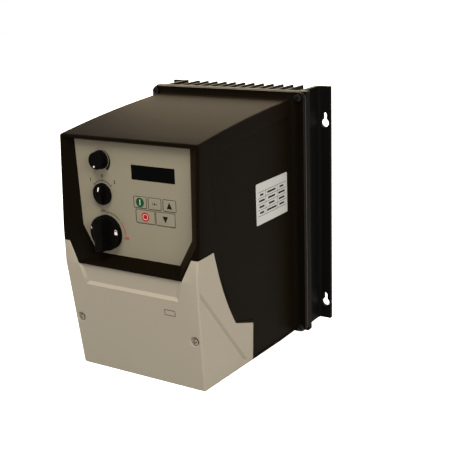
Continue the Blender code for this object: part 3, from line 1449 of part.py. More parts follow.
def make_power_stage():
    """Power module on the sink, the power board on its supports, and the parts soldered to it."""
    base = BASE_FRONT + GAP
    hole = SCREW_RADIUS + HOLE_PLAY
    wide = SCREW_HEAD + 2 * HOLE_PLAY
    module = box("power_module", 0, MODULE_Z, MODULE_WIDTH, MODULE_HEIGHT, base, MODULE_FRONT)
    soften(module, HOLE_PLAY)
    floor = MODULE_FRONT - SCREW_HEAD_HEIGHT - 2 * GAP
    combine(module, plain_hole(0, MODULE_Z, hole, base - OVERSHOOT, MODULE_FRONT))
    combine(module, plain_hole(0, MODULE_Z, wide, floor, MODULE_FRONT + OVERSHOOT))
    finish(module, "module_black")
    make_screw("module_screw", 0, MODULE_Z, floor + GAP, BASE_FRONT - SCREW_GRIP)

    rear = POWER_BOARD_REAR
    front = POWER_BOARD_FRONT
    middle = (POWER_BOARD_LOW_Z + POWER_BOARD_TOP_Z) / 2
    height = POWER_BOARD_TOP_Z - POWER_BOARD_LOW_Z
    board = box("power_board", 0, middle, POWER_BOARD_WIDTH, height, rear, front)
    holes = [plain_hole(0, MODULE_Z, wide, rear - OVERSHOOT, front + OVERSHOOT)]
    for x, z in board_support_places():
        holes.append(plain_hole(x, z, hole, rear - OVERSHOOT, front + OVERSHOOT))
        make_board_support(corner_name("board_support", x, z), x, z)
    finish(combine(board, join("power_board_holes", holes)), "circuit_board")

    seat = front + GAP
    make_capacitor("dc_link_capacitor_left", -CAPACITOR_PITCH / 2)
    make_capacitor("dc_link_capacitor_right", CAPACITOR_PITCH / 2)
    end = seat + CHOKE_THICK
    profile = [(CHOKE_BORE, seat), (CHOKE_RADIUS, seat), (CHOKE_RADIUS, end), (CHOKE_BORE, end)]
    choke = ring("filter_choke", profile, facing_front(CHOKE_X, CHOKE_Z), MIDDLE_ROUND)
    finish(soften(choke, 4 * HOLE_PLAY), "copper_winding")
    width, deep, height = RELAY_SIZE
    finish(box("inrush_relay", RELAY_X, RELAY_Z, width, height, seat, seat + deep), "relay_case")
    for name, x in (("mains_terminals", -POWER_TERMINAL_X), ("motor_terminals", POWER_TERMINAL_X)):
        terminal_block(
            name,
            x,
            POWER_TERMINAL_Z,
            POWER_TERMINAL_WAYS,
            POWER_TERMINAL_PITCH,
            POWER_TERMINAL_HEIGHT,
            seat,
            seat + POWER_TERMINAL_DEPTH,
            "terminal_grey",
        )
    stud_seat = base + EARTH_STUD_STAND
    make_screw("earth_screw", 0, EARTH_STUD_Z, stud_seat, BASE_FRONT - SCREW_GRIP, "brass")


def make_ribbon():
    """Flat cable between the two boards, crimped into a connector at each end."""
    rear_seat = POWER_BOARD_FRONT + GAP
    front_seat = BOARD_REAR - GAP
    width = RIBBON_WIDTH + 2 * RIBBON_THICK
    start = rear_seat + CONNECTOR_LENGTH
    end = front_seat - CONNECTOR_LENGTH
    reach = CONNECTOR_LENGTH / 2
    lower = []
    upper = []
    for i in range(RIBBON_STEPS + 1):
        t = i / RIBBON_STEPS
        depth = blend(start - reach, end + reach, t)
        z = RIBBON_Z - RIBBON_SAG * (1 - math.cos(2 * math.pi * t)) / 2
        lower.append((depth, z - RIBBON_THICK / 2))
        upper.append((depth, z + RIBBON_THICK / 2))
    left = RIBBON_X - RIBBON_WIDTH / 2
    right = RIBBON_X + RIBBON_WIDTH / 2
    ribbon = prism_across("ribbon_cable", lower + upper[::-1], lambda d: left, lambda d: right)
    for low, high in ((rear_seat, start), (end, front_seat)):
        connector = box("connector", RIBBON_X, RIBBON_Z, width, CONNECTOR_HEIGHT, low, high)
        combine(ribbon, connector, "UNION")
    finish(ribbon, "ribbon_grey")


def main():
    """Builds the drive from the wall forwards."""
    clear_scene()
    make_heatsink()
    make_housing_gasket()
    body = make_body()
    make_housing(body)
    make_terminal_cover(body)
    bpy.data.objects.remove(body, do_unlink=True)
    make_housing_screws()
    make_cable_entry_plugs()
    make_cover_gasket()
    make_cover_screws()
    make_control_panel()
    make_display()
    make_keys()
    make_speed_control()
    make_selector()
    make_isolator()
    make_control_board()
    make_power_stage()
    make_ribbon()


main()
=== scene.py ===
"""Looks of a sealed wall-mounted variable frequency drive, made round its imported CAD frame.

Frame: metres, +X to the right, +Z up, the control panel faces -Y and the wall stands at +Y.
"""

import json
import math

import bmesh
import bpy
import numpy as np
from bpy.props import FloatProperty, FloatVectorProperty, IntProperty, PointerProperty
from mathutils import Matrix, Vector

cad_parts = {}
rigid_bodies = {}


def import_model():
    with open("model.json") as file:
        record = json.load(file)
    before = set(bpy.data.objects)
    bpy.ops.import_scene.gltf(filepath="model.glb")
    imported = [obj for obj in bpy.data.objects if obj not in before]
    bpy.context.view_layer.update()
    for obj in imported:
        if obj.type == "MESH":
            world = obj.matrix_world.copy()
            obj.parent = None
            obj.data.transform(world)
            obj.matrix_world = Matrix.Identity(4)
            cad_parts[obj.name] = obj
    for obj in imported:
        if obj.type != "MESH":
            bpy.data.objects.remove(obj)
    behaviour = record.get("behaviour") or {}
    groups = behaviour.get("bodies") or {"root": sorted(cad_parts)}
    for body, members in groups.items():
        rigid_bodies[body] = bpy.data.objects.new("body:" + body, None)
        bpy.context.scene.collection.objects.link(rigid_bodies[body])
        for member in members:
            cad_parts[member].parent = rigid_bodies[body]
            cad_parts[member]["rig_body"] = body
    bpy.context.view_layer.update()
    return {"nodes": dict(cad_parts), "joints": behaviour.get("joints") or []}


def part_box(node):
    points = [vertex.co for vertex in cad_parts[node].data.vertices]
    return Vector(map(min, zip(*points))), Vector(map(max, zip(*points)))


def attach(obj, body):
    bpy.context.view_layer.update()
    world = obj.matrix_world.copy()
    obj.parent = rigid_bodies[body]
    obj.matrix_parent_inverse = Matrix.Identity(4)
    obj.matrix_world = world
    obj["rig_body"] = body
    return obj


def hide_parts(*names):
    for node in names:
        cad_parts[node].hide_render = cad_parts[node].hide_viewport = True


bl_info = {
    "name": "Variable frequency drive",
    "version": (1, 0, 0),
    "blender": (4, 5, 0),
    "location": "3D View > Sidebar > Drive",
    "description": "Dresses a wall-mounted variable frequency drive round its CAD frame",
    "category": "Object",
}

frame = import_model()
NODES = frame["nodes"]
JOINTS = {joint["name"]: joint for joint in frame["joints"]}

# Planes of the frame that the new pieces stand on
PANEL_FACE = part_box("control_panel")[0].y
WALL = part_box("heatsink")[1].y
SPEED_AXIS = JOINTS["speed_turn"]["pos_m"]
SELECTOR_AXIS = JOINTS["selector_turn"]["pos_m"]
ISOLATOR_AXIS = JOINTS["isolator_turn"]["pos_m"]

# The cover's front leans out from its foot to its nose; depths are measured from the wall
FOOT_DEPTH = 0.2095
NOSE_DEPTH = 0.2193
NOSE_Z = 0.1057

# The body's sides are drafted from the rim to the hood, and their sunk field lies below the skin
SIDE_REAR = 0.0765
SIDE_FRONT = 0.0753
SIDE_REAR_DEPTH = 0.051
SIDE_FRONT_DEPTH = 0.2108
SIDE_SUNK = 0.0008

ROUND = 96


def linear(code):
    """Linear colour of an sRGB hex value, with full alpha."""
    parts = np.array([int(code[i : i + 2], 16) for i in (1, 3, 5)]) / 255
    values = np.where(parts <= 0.04045, parts / 12.92, ((parts + 0.055) / 1.055) ** 2.4)
    return (*values.tolist(), 1.0)


def length(name, text, default):
    """Property for a length in metres."""
    return FloatProperty(name=name, description=text, default=default, min=0.0, unit="LENGTH", precision=5)


def colour(name, text, code):
    """Property for a colour given as an sRGB hex value."""
    return FloatVectorProperty(
        name=name, description=text, default=linear(code), size=4, min=0.0, max=1.0, subtype="COLOR"
    )


class DriveSizes(bpy.types.PropertyGroup):
    """Sizes of the details that the CAD frame leaves to the looks."""

    edge_round: length("Edge round", "Round on the edges of moulded pieces", 0.0004)
    sink_round: length("Sink round", "Round on the edges of the extruded sink", 0.0003)
    print_height: length("Print height", "Thickness of ink that stands on a surface", 0.00006)
    line_width: length("Line width", "Width of printed lines", 0.0005)
    knob_fillet: length("Knob fillet", "Round on the crown of a knob", 0.0009)
    flute_depth: length("Flute depth", "Depth of the flutes round the speed knob", 0.00012)
    flute_count: IntProperty(name="Flutes", description="Flutes round the speed knob", default=30, min=3)
    label_width: length("Label width", "Width of the blank label on the side", 0.0585)
    label_height: length("Label height", "Height of the blank label on the side", 0.0395)
    floor_size: length("Floor size", "Side of the studio floor", 9.0)


class DriveColours(bpy.types.PropertyGroup):
    """Colours of the finishes."""

    housing: colour("Housing", "Black moulded plastic", "#090603")
    cover: colour("Cover", "Warm grey moulded plastic", "#979082")
    overlay: colour("Overlay", "Warm grey panel overlay", "#7E7868")
    knob: colour("Knobs", "Black knob plastic", "#070606")
    sink: colour("Heat sink", "Black coated aluminium", "#0B0B0A")
    window: colour("Window", "Dark display window", "#020202")
    ink_dark: colour("Dark ink", "Dark printed marks", "#0C0A07")
    ink_white: colour("White ink", "White printed marks", "#E2DFD7")
    ink_red: colour("Red ink", "Red printed marks", "#960D0F")
    ink_green: colour("Green ink", "Green printed marks", "#083A1E")
    label: colour("Label", "Plain label film", "#A9A9A6")
    floor: colour("Floor", "Studio floor and backdrop", "#FFFFFF")
    bounce: colour("Bounce", "Light that the floor throws back", "#959595")


# Materials


def add(tree, kind, sockets=None, links=None, **settings):
    """Adds a node, with its settings, socket values and links from output sockets."""
    node = tree.nodes.new(kind)
    for name, value in settings.items():
        setattr(node, name, value)
    for name, value in (sockets or {}).items():
        node.inputs[name].default_value = value
    for name, source in (links or {}).items():
        tree.links.new(source, node.inputs[name])
    return node


def blank(name):
    """New material with a shader and an output, as (material, tree, shader)."""
    material = bpy.data.materials.new(name)
    material.use_nodes = True
    tree = material.node_tree
    tree.nodes.clear()
    shader = add(tree, "ShaderNodeBsdfPrincipled")
    add(tree, "ShaderNodeOutputMaterial", links={"Surface": shader.outputs["BSDF"]})
    return material, tree, shader


def per_metre(millimetres):
    """Noise scale that gives features of a size."""
    return 1000.0 / millimetres


def grained(name, base, roughness, grain, bump, cloud=18.0, shift=0.06, stretch=(1, 1, 1), **shader_values):
    """Surface with a fine grain in bump and roughness, and a slow change of tone.

    The sizes of grain and cloud are in millimetres, bump is the grain's height in millimetres, and
    shift is the share by which the tone and the roughness change.
    """
    material, tree, shader = blank(name)
    for socket, value in shader_values.items():
        shader.inputs[socket.replace("_", " ")].default_value = value
    place = add(tree, "ShaderNodeTexCoord")
    turn = add(tree, "ShaderNodeMapping", {"Scale": stretch}, {"Vector": place.outputs["Object"]})
    fine = add(
        tree, "ShaderNodeTexNoise", {"Scale": per_metre(grain), "Detail": 3.0}, {"Vector": turn.outputs["Vector"]}
    )
    slow = add(
        tree, "ShaderNodeTexNoise", {"Scale": per_metre(cloud), "Detail": 2.0}, {"Vector": turn.outputs["Vector"]}
    )
    dark = [channel * (1 - shift) for channel in base[:3]] + [1.0]
    light = [min(1.0, channel * (1 + shift)) for channel in base[:3]] + [1.0]
    tone = add(
        tree, "ShaderNodeMix", {6: dark, 7: light}, {0: slow.outputs["Fac"]}, data_type="RGBA"
    )
    rough = add(
        tree,
        "ShaderNodeMapRange",
        {"To Min": roughness * (1 - 2 * shift), "To Max": min(1.0, roughness * (1 + 2 * shift))},
        {"Value": fine.outputs["Fac"]},
    )
    relief = add(
        tree,
        "ShaderNodeBump",
        {"Strength": 1.0, "Distance": bump / 1000.0},
        {"Height": fine.outputs["Fac"]},
    )
    tree.links.new(tone.outputs[2], shader.inputs["Base Color"])
    tree.links.new(rough.outputs["Result"], shader.inputs["Roughness"])
    tree.links.new(relief.outputs["Normal"], shader.inputs["Normal"])
    return material


# Finishes, named for the material and how its surface was made. A base is a name of DriveColours or an sRGB
# hex value; grain, bump and cloud are in millimetres
FINISHES = {
    # Moulded in a spark-eroded tool: the grain breaks the gloss up, so a face seen square on stays nearly black
    # and a warm haze shows where it is seen at a flat angle; the grain is drawn at 0.9 mm so that it shows
    "polycarbonate_spark_textured_black": dict(
        base="housing",
        roughness=0.5,
        grain=0.9,
        bump=0.012,
        cloud=40.0,
        shift=0.08,
        Specular_IOR_Level=0.009,
        Sheen_Weight=0.05,
        Sheen_Roughness=0.4,
        Sheen_Tint=linear("#9A7840"),
    ),
    # The same resin and tool grain in warm grey: a soft sparkle on the broad faces
    "polycarbonate_spark_textured_grey": dict(
        base="cover",
        roughness=0.5,
        grain=0.9,
        bump=0.01,
        cloud=60.0,
        shift=0.02,
        Specular_IOR_Level=0.12,
    ),
    # Film printed on its face and laid over the panel: finer and flatter than the moulding beside it
    "polyester_film_velvet_grey": dict(
        base="overlay",
        roughness=0.44,
        grain=0.7,
        bump=0.004,
        cloud=70.0,
        shift=0.015,
        Specular_IOR_Level=0.12,
    ),
    # Compression moulded and tumbled: half gloss, with tumbling marks too fine to see apart
    "phenolic_tumbled_black": dict(
        base="knob", roughness=0.38, grain=0.5, bump=0.003, cloud=9.0, shift=0.12, Specular_IOR_Level=0.008
    ),
    # Extruded and powder coated: die lines run up the fins, so the grain is drawn out along Z
    "aluminium_extruded_black_coat": dict(
        base="sink",
        roughness=0.42,
        grain=1.1,
        bump=0.02,
        cloud=25.0,
        shift=0.12,
        stretch=(1, 1, 0.03),
        Specular_IOR_Level=0.008,
    ),
    # Cast sheet with a dark tint: polished, with a faint orange peel
    "acrylic_cast_tinted": dict(
        base="window", roughness=0.12, grain=2.5, bump=0.001, cloud=12.0, shift=0.1, Specular_IOR_Level=0.01
    ),
    # Zinc plate: bright grey metal with a blotched passivation
    "steel_zinc_plated": dict(
        base="#A29A8C", roughness=0.4, grain=0.6, bump=0.006, cloud=2.5, shift=0.12, Metallic=1.0
    ),
    # Dull chromate over zinc: the cover's screws, darker than bright plate
    "steel_zinc_dulled": dict(
        base="#6E675A", roughness=0.45, grain=0.6, bump=0.006, cloud=2.5, shift=0.15, Metallic=1.0
    ),
    # Black oxide: the same blotches, nearly drowned in the dark film
    "steel_black_oxide": dict(
        base="#0B0A09", roughness=0.45, grain=0.6, bump=0.006, cloud=2.5, shift=0.2, Specular_IOR_Level=0.1
    ),
    # Cut from sheet: matt, with a talc-like bloom
    "rubber_sheet_cut": dict(base="#171615", roughness=0.8, grain=0.8, bump=0.02, cloud=6.0, shift=0.15),
    # Lathe turned: warm metal with fine tool marks
    "brass_turned": dict(
        base="#C9A45C", roughness=0.32, grain=0.4, bump=0.005, cloud=3.0, shift=0.08, Metallic=1.0
    ),
    # Woven glass under a resist: the weave shows as a mottling
    "glass_epoxy_green_resist": dict(
        base="#1F5A33", roughness=0.4, grain=0.7, bump=0.008, cloud=2.0, shift=0.12
    ),
    # Terminal bodies: even, with the low sheen of a polished tool
    "polyamide_moulded_green": dict(
        base="#2E8A4A", roughness=0.5, grain=0.6, bump=0.006, cloud=8.0, shift=0.05
    ),
    "polyamide_moulded_grey": dict(
        base="#8A8C8E", roughness=0.5, grain=0.6, bump=0.006, cloud=8.0, shift=0.05
    ),
    # Sleeve shrunk on a capacitor: smooth and drawn tight
    "vinyl_shrunk_blue": dict(base="#30364A", roughness=0.28, grain=1.5, bump=0.003, cloud=10.0, shift=0.06),
    # Component bodies: matt and slightly coarse
    "epoxy_transfer_moulded": dict(
        base="#1C1B1A", roughness=0.6, grain=0.5, bump=0.012, cloud=5.0, shift=0.1
    ),
    # Wire wound side by side at 1 mm, under a clear enamel
    "copper_enamelled_wound": dict(
        base="#B5713C", roughness=0.3, grain=1.0, bump=0.12, cloud=4.0, shift=0.15, Metallic=1.0
    ),
    # Relay case and snap-in supports in undyed resin
    "nylon_moulded_natural": dict(
        base="#D6D3CA", roughness=0.5, grain=0.8, bump=0.006, cloud=10.0, shift=0.03
    ),
    # Flat cable: ribs at a pitch of 1.27 mm
    "vinyl_extruded_ribbon": dict(
        base="#A5A5A3", roughness=0.5, grain=1.3, bump=0.05, cloud=10.0, shift=0.05
    ),
    # Screen inks: thin and matt, with small changes of tone from the mesh
    "ink_screened_dark": dict(
        base="ink_dark", roughness=0.6, grain=0.5, bump=0.003, cloud=3.0, shift=0.08, Specular_IOR_Level=0.05
    ),
    "ink_screened_white": dict(
        base="ink_white", roughness=0.55, grain=0.5, bump=0.003, cloud=3.0, shift=0.02
    ),
    "ink_screened_red": dict(
        base="ink_red", roughness=0.55, grain=0.5, bump=0.003, cloud=3.0, shift=0.05, Specular_IOR_Level=0.08
    ),
    "ink_screened_green": dict(
        base="ink_green", roughness=0.55, grain=0.5, bump=0.003, cloud=3.0, shift=0.05, Specular_IOR_Level=0.08
    ),
    # Label stock with a matt topcoat
    "polyester_label_matt": dict(base="label", roughness=0.48, grain=0.6, bump=0.003, cloud=20.0, shift=0.02),
}


def finish(name):
    """The finish of this name, made once."""
    made = bpy.data.materials.get(name)
    if made:
        return made
    values = dict(FINISHES[name])
    base = values.pop("base")
    if base.startswith("#"):
        shade = linear(base)
    else:
        shade = getattr(bpy.context.scene.drive_colours, base)
    return grained(name, shade, **values)


def dress(finish_name, *nodes):
    """Gives CAD nodes a finish in place of their own."""
    for node in nodes:
        slots = NODES[node].data.materials
        slots.clear()
        slots.append(finish(finish_name))


# Meshes


def new_object(name, mesh, finish_name, body, sharp=35):
    """Links a mesh as a piece that rides on a body, smooth except at sharp edges."""
    mesh.materials.clear()
    mesh.materials.append(finish(finish_name))
    mesh.shade_smooth()
    mesh.set_sharp_from_angle(angle=math.radians(sharp))
    obj = bpy.data.objects.new(name, mesh)
    bpy.context.scene.collection.objects.link(obj)
    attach(obj, body)
    return obj


def outward(mesh):
    """Turns a closed mesh's faces outwards, by the sign of its volume."""
    work = bmesh.new()
    work.from_mesh(mesh)
    if work.calc_volume(signed=True) < 0:
        bmesh.ops.reverse_faces(work, faces=work.faces)
    work.to_mesh(mesh)
    work.free()


def grid_faces(rows, columns, closed_path):
    """Quads over a grid whose columns close on themselves; its rows close too, or end in caps."""
    index = np.arange(rows * columns).reshape(rows, columns)
    ahead = np.roll(index, -1, axis=0)
    if not closed_path:
        index = index[:-1]
        ahead = ahead[:-1]
    quads = np.stack([index, np.roll(index, -1, 1), np.roll(ahead, -1, 1), ahead], axis=-1)
    faces = quads.reshape(-1, 4).tolist()
    if not closed_path:
        faces.append(list(range(columns))[::-1])
        faces.append(list(range((rows - 1) * columns, rows * columns)))
    return faces


def surface(name, rings, finish_name, body, closed_path=False, sharp=35):
    """Piece from an array of rings of points, shaped (rows, columns, 3)."""
    rows, columns = rings.shape[:2]
    mesh = bpy.data.meshes.new(name)
    mesh.from_pydata(rings.reshape(-1, 3).tolist(), [], grid_faces(rows, columns, closed_path))
    outward(mesh)
    return new_object(name, mesh, finish_name, body, sharp)


def on_panel(u, v, height):
    """Point over the panel: u to the right, v up, height towards the viewer."""
    u, v, height = np.broadcast_arrays(u, v, height)
    return np.stack([u, PANEL_FACE - height, v], axis=-1)


def on_cover(u, v, height):
    """Point over the cover's leaning front: its depth grows with v from the foot to the nose."""
    u, v, height = np.broadcast_arrays(u, v, height)
    depth = FOOT_DEPTH + (NOSE_DEPTH - FOOT_DEPTH) * v / NOSE_Z
    return np.stack([u, WALL - depth - height, v], axis=-1)


def on_side(u, v, height):
    """Point over the sunk field on the right side: u is the depth from the wall, height goes along +X."""
    u, v, height = np.broadcast_arrays(u, v, height)
    share = (u - SIDE_REAR_DEPTH) / (SIDE_FRONT_DEPTH - SIDE_REAR_DEPTH)
    x = SIDE_REAR + (SIDE_FRONT - SIDE_REAR) * share - SIDE_SUNK
    return np.stack([x + height, WALL - u, v], axis=-1)


def turned(name, profile, axis, face, finish_name, body, slot, wave=None, count=ROUND, sharp=35):
    """Solid of revolution about a line along Y: a profile of (radius, height) carried round the axis.

    The height is measured from the plane y = face towards the viewer. A wave of (number, depth, row weights)
    draws the radius in by depth * (1 - cos(number * angle)) / 2, as flutes do.
    """
    radius, height = np.array(profile, float).T
    angle = np.linspace(0, 2 * math.pi, count, endpoint=False)
    spread = np.repeat(radius[:, None], count, axis=1)
    if wave:
        number, deep, weights = wave
        spread = spread - np.array(weights)[:, None] * deep * (1 - np.cos(number * angle)) / 2
    x = axis[0] + spread * np.sin(angle)
    z = axis[2] + spread * np.cos(angle)
    y = np.broadcast_to(face - height[:, None], x.shape)
    return surface(name, np.stack([x, y, z], axis=-1), finish_name, body, sharp=sharp)


def slab(name, outline, place, finish_name, body, slot, low=-0.00004, high=None, sharp=35):
    """Thin closed plate: an outline of (u, v) carried from a little below a surface to the ink's height."""
    top = bpy.context.scene.drive_sizes.print_height if high is None else high
    u, v = np.array(outline, float).T
    rings = np.stack([place(u, v, low), place(u, v, top)])
    return surface(name, rings, finish_name, body, sharp=sharp)


def strip(name, centre, width, height, place, finish_name, body, steps=12):
    """Upright bar of ink that bends with its surface: a small rectangle carried up its length."""
    low = -0.0003
    top = bpy.context.scene.drive_sizes.print_height
    v = centre[1] + np.linspace(-height / 2, height / 2, steps)
    corners = []
    for side, level in ((-0.5, low), (0.5, low), (0.5, top), (-0.5, top)):
        corners.append(place(centre[0] + side * width, v, level))
    return surface(name, np.stack(corners, axis=1), finish_name, body)


def band(name, centre, inner, outer, start, end, place, finish_name, body, slot, steps=48, high=None):
    """Flat arc between two radii, which may change along it; angles run clockwise from the top, in degrees."""
    top = bpy.context.scene.drive_sizes.print_height if high is None else high
    low = -0.00004
    closed = end - start == 360
    angle = np.radians(np.linspace(start, end, steps, endpoint=not closed))
    inner = np.broadcast_to(inner, angle.shape)
    outer = np.broadcast_to(outer, angle.shape)
    corners = []
    for radius, height in ((inner, low), (outer, low), (outer, top), (inner, top)):
        corners.append(place(centre[0] + radius * np.sin(angle), centre[1] + radius * np.cos(angle), height))
    return surface(name, np.stack(corners, axis=1), finish_name, body, closed_path=closed)


def rounded_rectangle(width, height, corner, steps=5):
    """Outline of a rectangle with round corners about the origin, as an array of (u, v)."""
    quarter = np.linspace(0, math.pi / 2, steps + 1)
    loops = []
    for turn, sx, sz in ((0, 1, 1), (1, -1, 1), (2, -1, -1), (3, 1, -1)):
        a = quarter + turn * math.pi / 2
        u = sx * (width / 2 - corner) + corner * np.cos(a)
        v = sz * (height / 2 - corner) + corner * np.sin(a)
        loops.append(np.stack([u, v], axis=1))
    return np.concatenate(loops)


def hoop(name, centre, width, height, corner, line, place, finish_name, body):
    """Printed frame: a line of one width along a rounded rectangle, which the line lies outside of."""
    top = bpy.context.scene.drive_sizes.print_height
    low = -0.00004
    inner = rounded_rectangle(width, height, corner) + centre
    outer = rounded_rectangle(width + 2 * line, height + 2 * line, corner + line) + centre
    corners = []
    for outline, level in ((inner, low), (outer, low), (outer, top), (inner, top)):
        corners.append(place(outline[:, 0], outline[:, 1], level))
    rings = np.stack(corners, axis=1)
    return surface(name, rings, finish_name, body, closed_path=True)


def word(name, text, size, centre, place_face, finish_name, body, slot):
    """Raised lettering of a height on the panel, made a mesh before its place is applied."""
    curve = bpy.data.curves.new(name, "FONT")
    curve.body = text
    curve.size = size
    curve.align_x = "CENTER"
    curve.align_y = "CENTER"
    curve.resolution_u = 3
    curve.offset = size * 0.025
    curve.extrude = bpy.context.scene.drive_sizes.print_height / 2
    holder = bpy.data.objects.new(name + "_curve", curve)
    bpy.context.scene.collection.objects.link(holder)
    graph = bpy.context.evaluated_depsgraph_get()
    mesh = bpy.data.meshes.new_from_object(holder.evaluated_get(graph))
    bpy.data.objects.remove(holder, do_unlink=True)
    turn = Matrix(((1, 0, 0, centre[0]), (0, 0, -1, place_face), (0, 1, 0, centre[1]), (0, 0, 0, 1)))
    mesh.transform(turn)
    work = bmesh.new()
    work.from_mesh(mesh)
    bmesh.ops.remove_doubles(work, verts=work.verts, dist=1e-7)
    work.to_mesh(mesh)
    work.free()
    mesh.name = name
    return new_object(name, mesh, finish_name, body)


def rounded_copy(node, name, width, finish_name, segments=2, angle=30):
    """Copy of a CAD node with its doubles merged and its edges rounded."""
    work = bmesh.new()
    work.from_mesh(NODES[node].data)
    bmesh.ops.remove_doubles(work, verts=work.verts, dist=1e-6)
    mesh = bpy.data.meshes.new(name)
    work.to_mesh(mesh)
    work.free()
    body = NODES[node]["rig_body"]
    obj = new_object(name, mesh, finish_name, body, sharp=28)
    if width > 0:
        bevel = obj.modifiers.new("edge_round", "BEVEL")
        bevel.width = width
        bevel.segments = segments
        bevel.limit_method = "ANGLE"
        bevel.angle_limit = math.radians(angle)
        bevel.use_clamp_overlap = False
        weld = obj.modifiers.new("meeting_corners", "WELD")
        weld.merge_threshold = 2e-6
    flat = obj.modifiers.new("flat_faces", "WEIGHTED_NORMAL")
    flat.mode = "FACE_AREA"
    flat.weight = 100
    flat.keep_sharp = True
    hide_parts(node)
    return obj


def superellipse(half_width, half_length, power, count=ROUND):
    """Outline |u / a|^n + |v / b|^n = 1, as arrays u and v."""
    a = np.linspace(0, 2 * math.pi, count, endpoint=False)
    u = half_width * np.sign(np.cos(a)) * np.abs(np.cos(a)) ** (2 / power)
    v = half_length * np.sign(np.sin(a)) * np.abs(np.sin(a)) ** (2 / power)
    return u, v


def grip(name, axis, half_width, half_length, foot, crown, fillet, waist, power, fall, finish_name, body, slot):
    """Finger bar: superellipse sections stacked from foot to crown, drawn in by a fillet at the top.

    The sides are hollowed by waist * cos(pi v / 2 b) squared, so that the bar is narrowest at its middle, and
    the crown falls by fall * (v / b) squared towards its ends.
    """
    u, v = superellipse(half_width, half_length, power)
    u = u * (1 - waist * np.cos(math.pi * v / 2 / half_length) ** 2)
    turn = np.linspace(0, math.pi / 2, 7)
    rim = crown - fillet
    inset = np.concatenate([[0.0, 0.0], fillet * (1 - np.cos(turn[1:])), [fillet] * 3])
    level = np.concatenate([[foot, rim], rim + fillet * np.sin(turn[1:]), [crown] * 3])
    shrink_u = 1 - inset / half_width
    shrink_u[-3:] *= (0.66, 0.33, 0.02)
    shrink_v = 1 - inset / half_length
    drop = np.where(level > foot, fall, 0.0)
    x = axis[0] + u * shrink_u[:, None]
    rise = v * shrink_v[:, None]
    y = PANEL_FACE - level[:, None] + drop[:, None] * (rise / half_length) ** 2
    return surface(name, np.stack([x, y, axis[2] + rise], axis=-1), finish_name, body, sharp=50)


def crown_profile(radius, foot, crown, fillet, steps=6):
    """Profile of a disc from its underside to its flat crown, with a rounded shoulder."""
    a = np.linspace(0, math.pi / 2, steps + 1)
    profile = [(radius * 0.6, foot), (radius, foot)]
    profile += [(radius - fillet * (1 - math.cos(t)), crown - fillet * (1 - math.sin(t))) for t in a]
    return profile


# Operators


class DRIVE_OT_heat_sink(bpy.types.Operator):
    """Extruded sink with its die lines and rounded fin tips"""

    bl_idname = "drive.heat_sink"
    bl_label = "Heat sink"

    def execute(self, context):
        width = context.scene.drive_sizes.sink_round
        rounded_copy("heatsink", "heat_sink", width, "aluminium_extruded_black_coat", 1)
        return {"FINISHED"}


class DRIVE_OT_housing(bpy.types.Operator):
    """Moulded housing with its seal to the sink"""

    bl_idname = "drive.housing"
    bl_label = "Housing"

    def execute(self, context):
        width = context.scene.drive_sizes.edge_round
        rounded_copy("housing", "moulded_housing", width, "polycarbonate_spark_textured_black")
        dress("rubber_sheet_cut", "housing_gasket")
        return {"FINISHED"}


class DRIVE_OT_terminal_cover(bpy.types.Operator):
    """Terminal cover with its seal and the printed frame of its port"""

    bl_idname = "drive.terminal_cover"
    bl_label = "Terminal cover"

    def execute(self, context):
        sizes = context.scene.drive_sizes
        rounded_copy("terminal_cover", "moulded_cover", sizes.edge_round, "polycarbonate_spark_textured_grey")
        dress("rubber_sheet_cut", "cover_gasket")
        hoop(
            "port_frame",
            (0.04115, 0.07315),
            0.0115 - 2 * sizes.line_width,
            0.0055 - 2 * sizes.line_width,
            0.0003,
            sizes.line_width,
            on_cover,
            "ink_screened_dark",
            "drive",
        )
        return {"FINISHED"}


def cross_head(name, node, height, reach, arm, finish_name):
    """Pan-head screw with a cross recess: a profile carried round its axis, with the head's crown let in.

    The recess is deep * s(|u|) * s(|v|), where s falls from 1 to 0 at the edge of an arm. The head's height
    and the arm's half width are lengths, and reach is the arm's length as a share of the head's radius.
    """
    low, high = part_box(node)
    x = (low.x + high.x) / 2
    z = (low.z + high.z) / 2
    radius = (high.x - low.x) / 2
    crown = low.y
    tip = high.y
    shank = 0.0020
    seat = crown + height
    ring = np.linspace(1.0, 0.04, 26)
    dome = 0.0007 * (1 - np.sqrt(np.clip(1 - 0.75 * ring**2, 0, 1))) / 0.5
    edge = crown + 0.55 * height
    rows = [(shank * 0.6, tip), (shank, tip - 0.001), (shank, seat), (radius, seat), (radius, edge)]
    r = np.concatenate([[row[0] for row in rows], radius * ring])
    y = np.concatenate([[row[1] for row in rows], crown + dome])
    angle = np.linspace(0, 2 * math.pi, ROUND, endpoint=False)
    u = r[:, None] * np.sin(angle)
    v = r[:, None] * np.cos(angle)
    reach = radius * reach
    wide = np.clip((arm + 0.00012 - np.abs(u)) / 0.00024, 0, 1) * np.clip((reach - np.abs(v)) / 0.0004, 0, 1)
    tall = np.clip((arm + 0.00012 - np.abs(v)) / 0.00024, 0, 1) * np.clip((reach - np.abs(u)) / 0.0004, 0, 1)
    recess = 0.0011 * np.maximum(wide, tall)
    recess[: len(rows)] = 0.0
    depth = y[:, None] + recess
    turn = math.radians(12)
    px = x + u * math.cos(turn) - v * math.sin(turn)
    pz = z + u * math.sin(turn) + v * math.cos(turn)
    obj = surface(name, np.stack([px, depth, pz], axis=-1), finish_name, NODES[node]["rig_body"])
    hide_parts(node)
    return obj


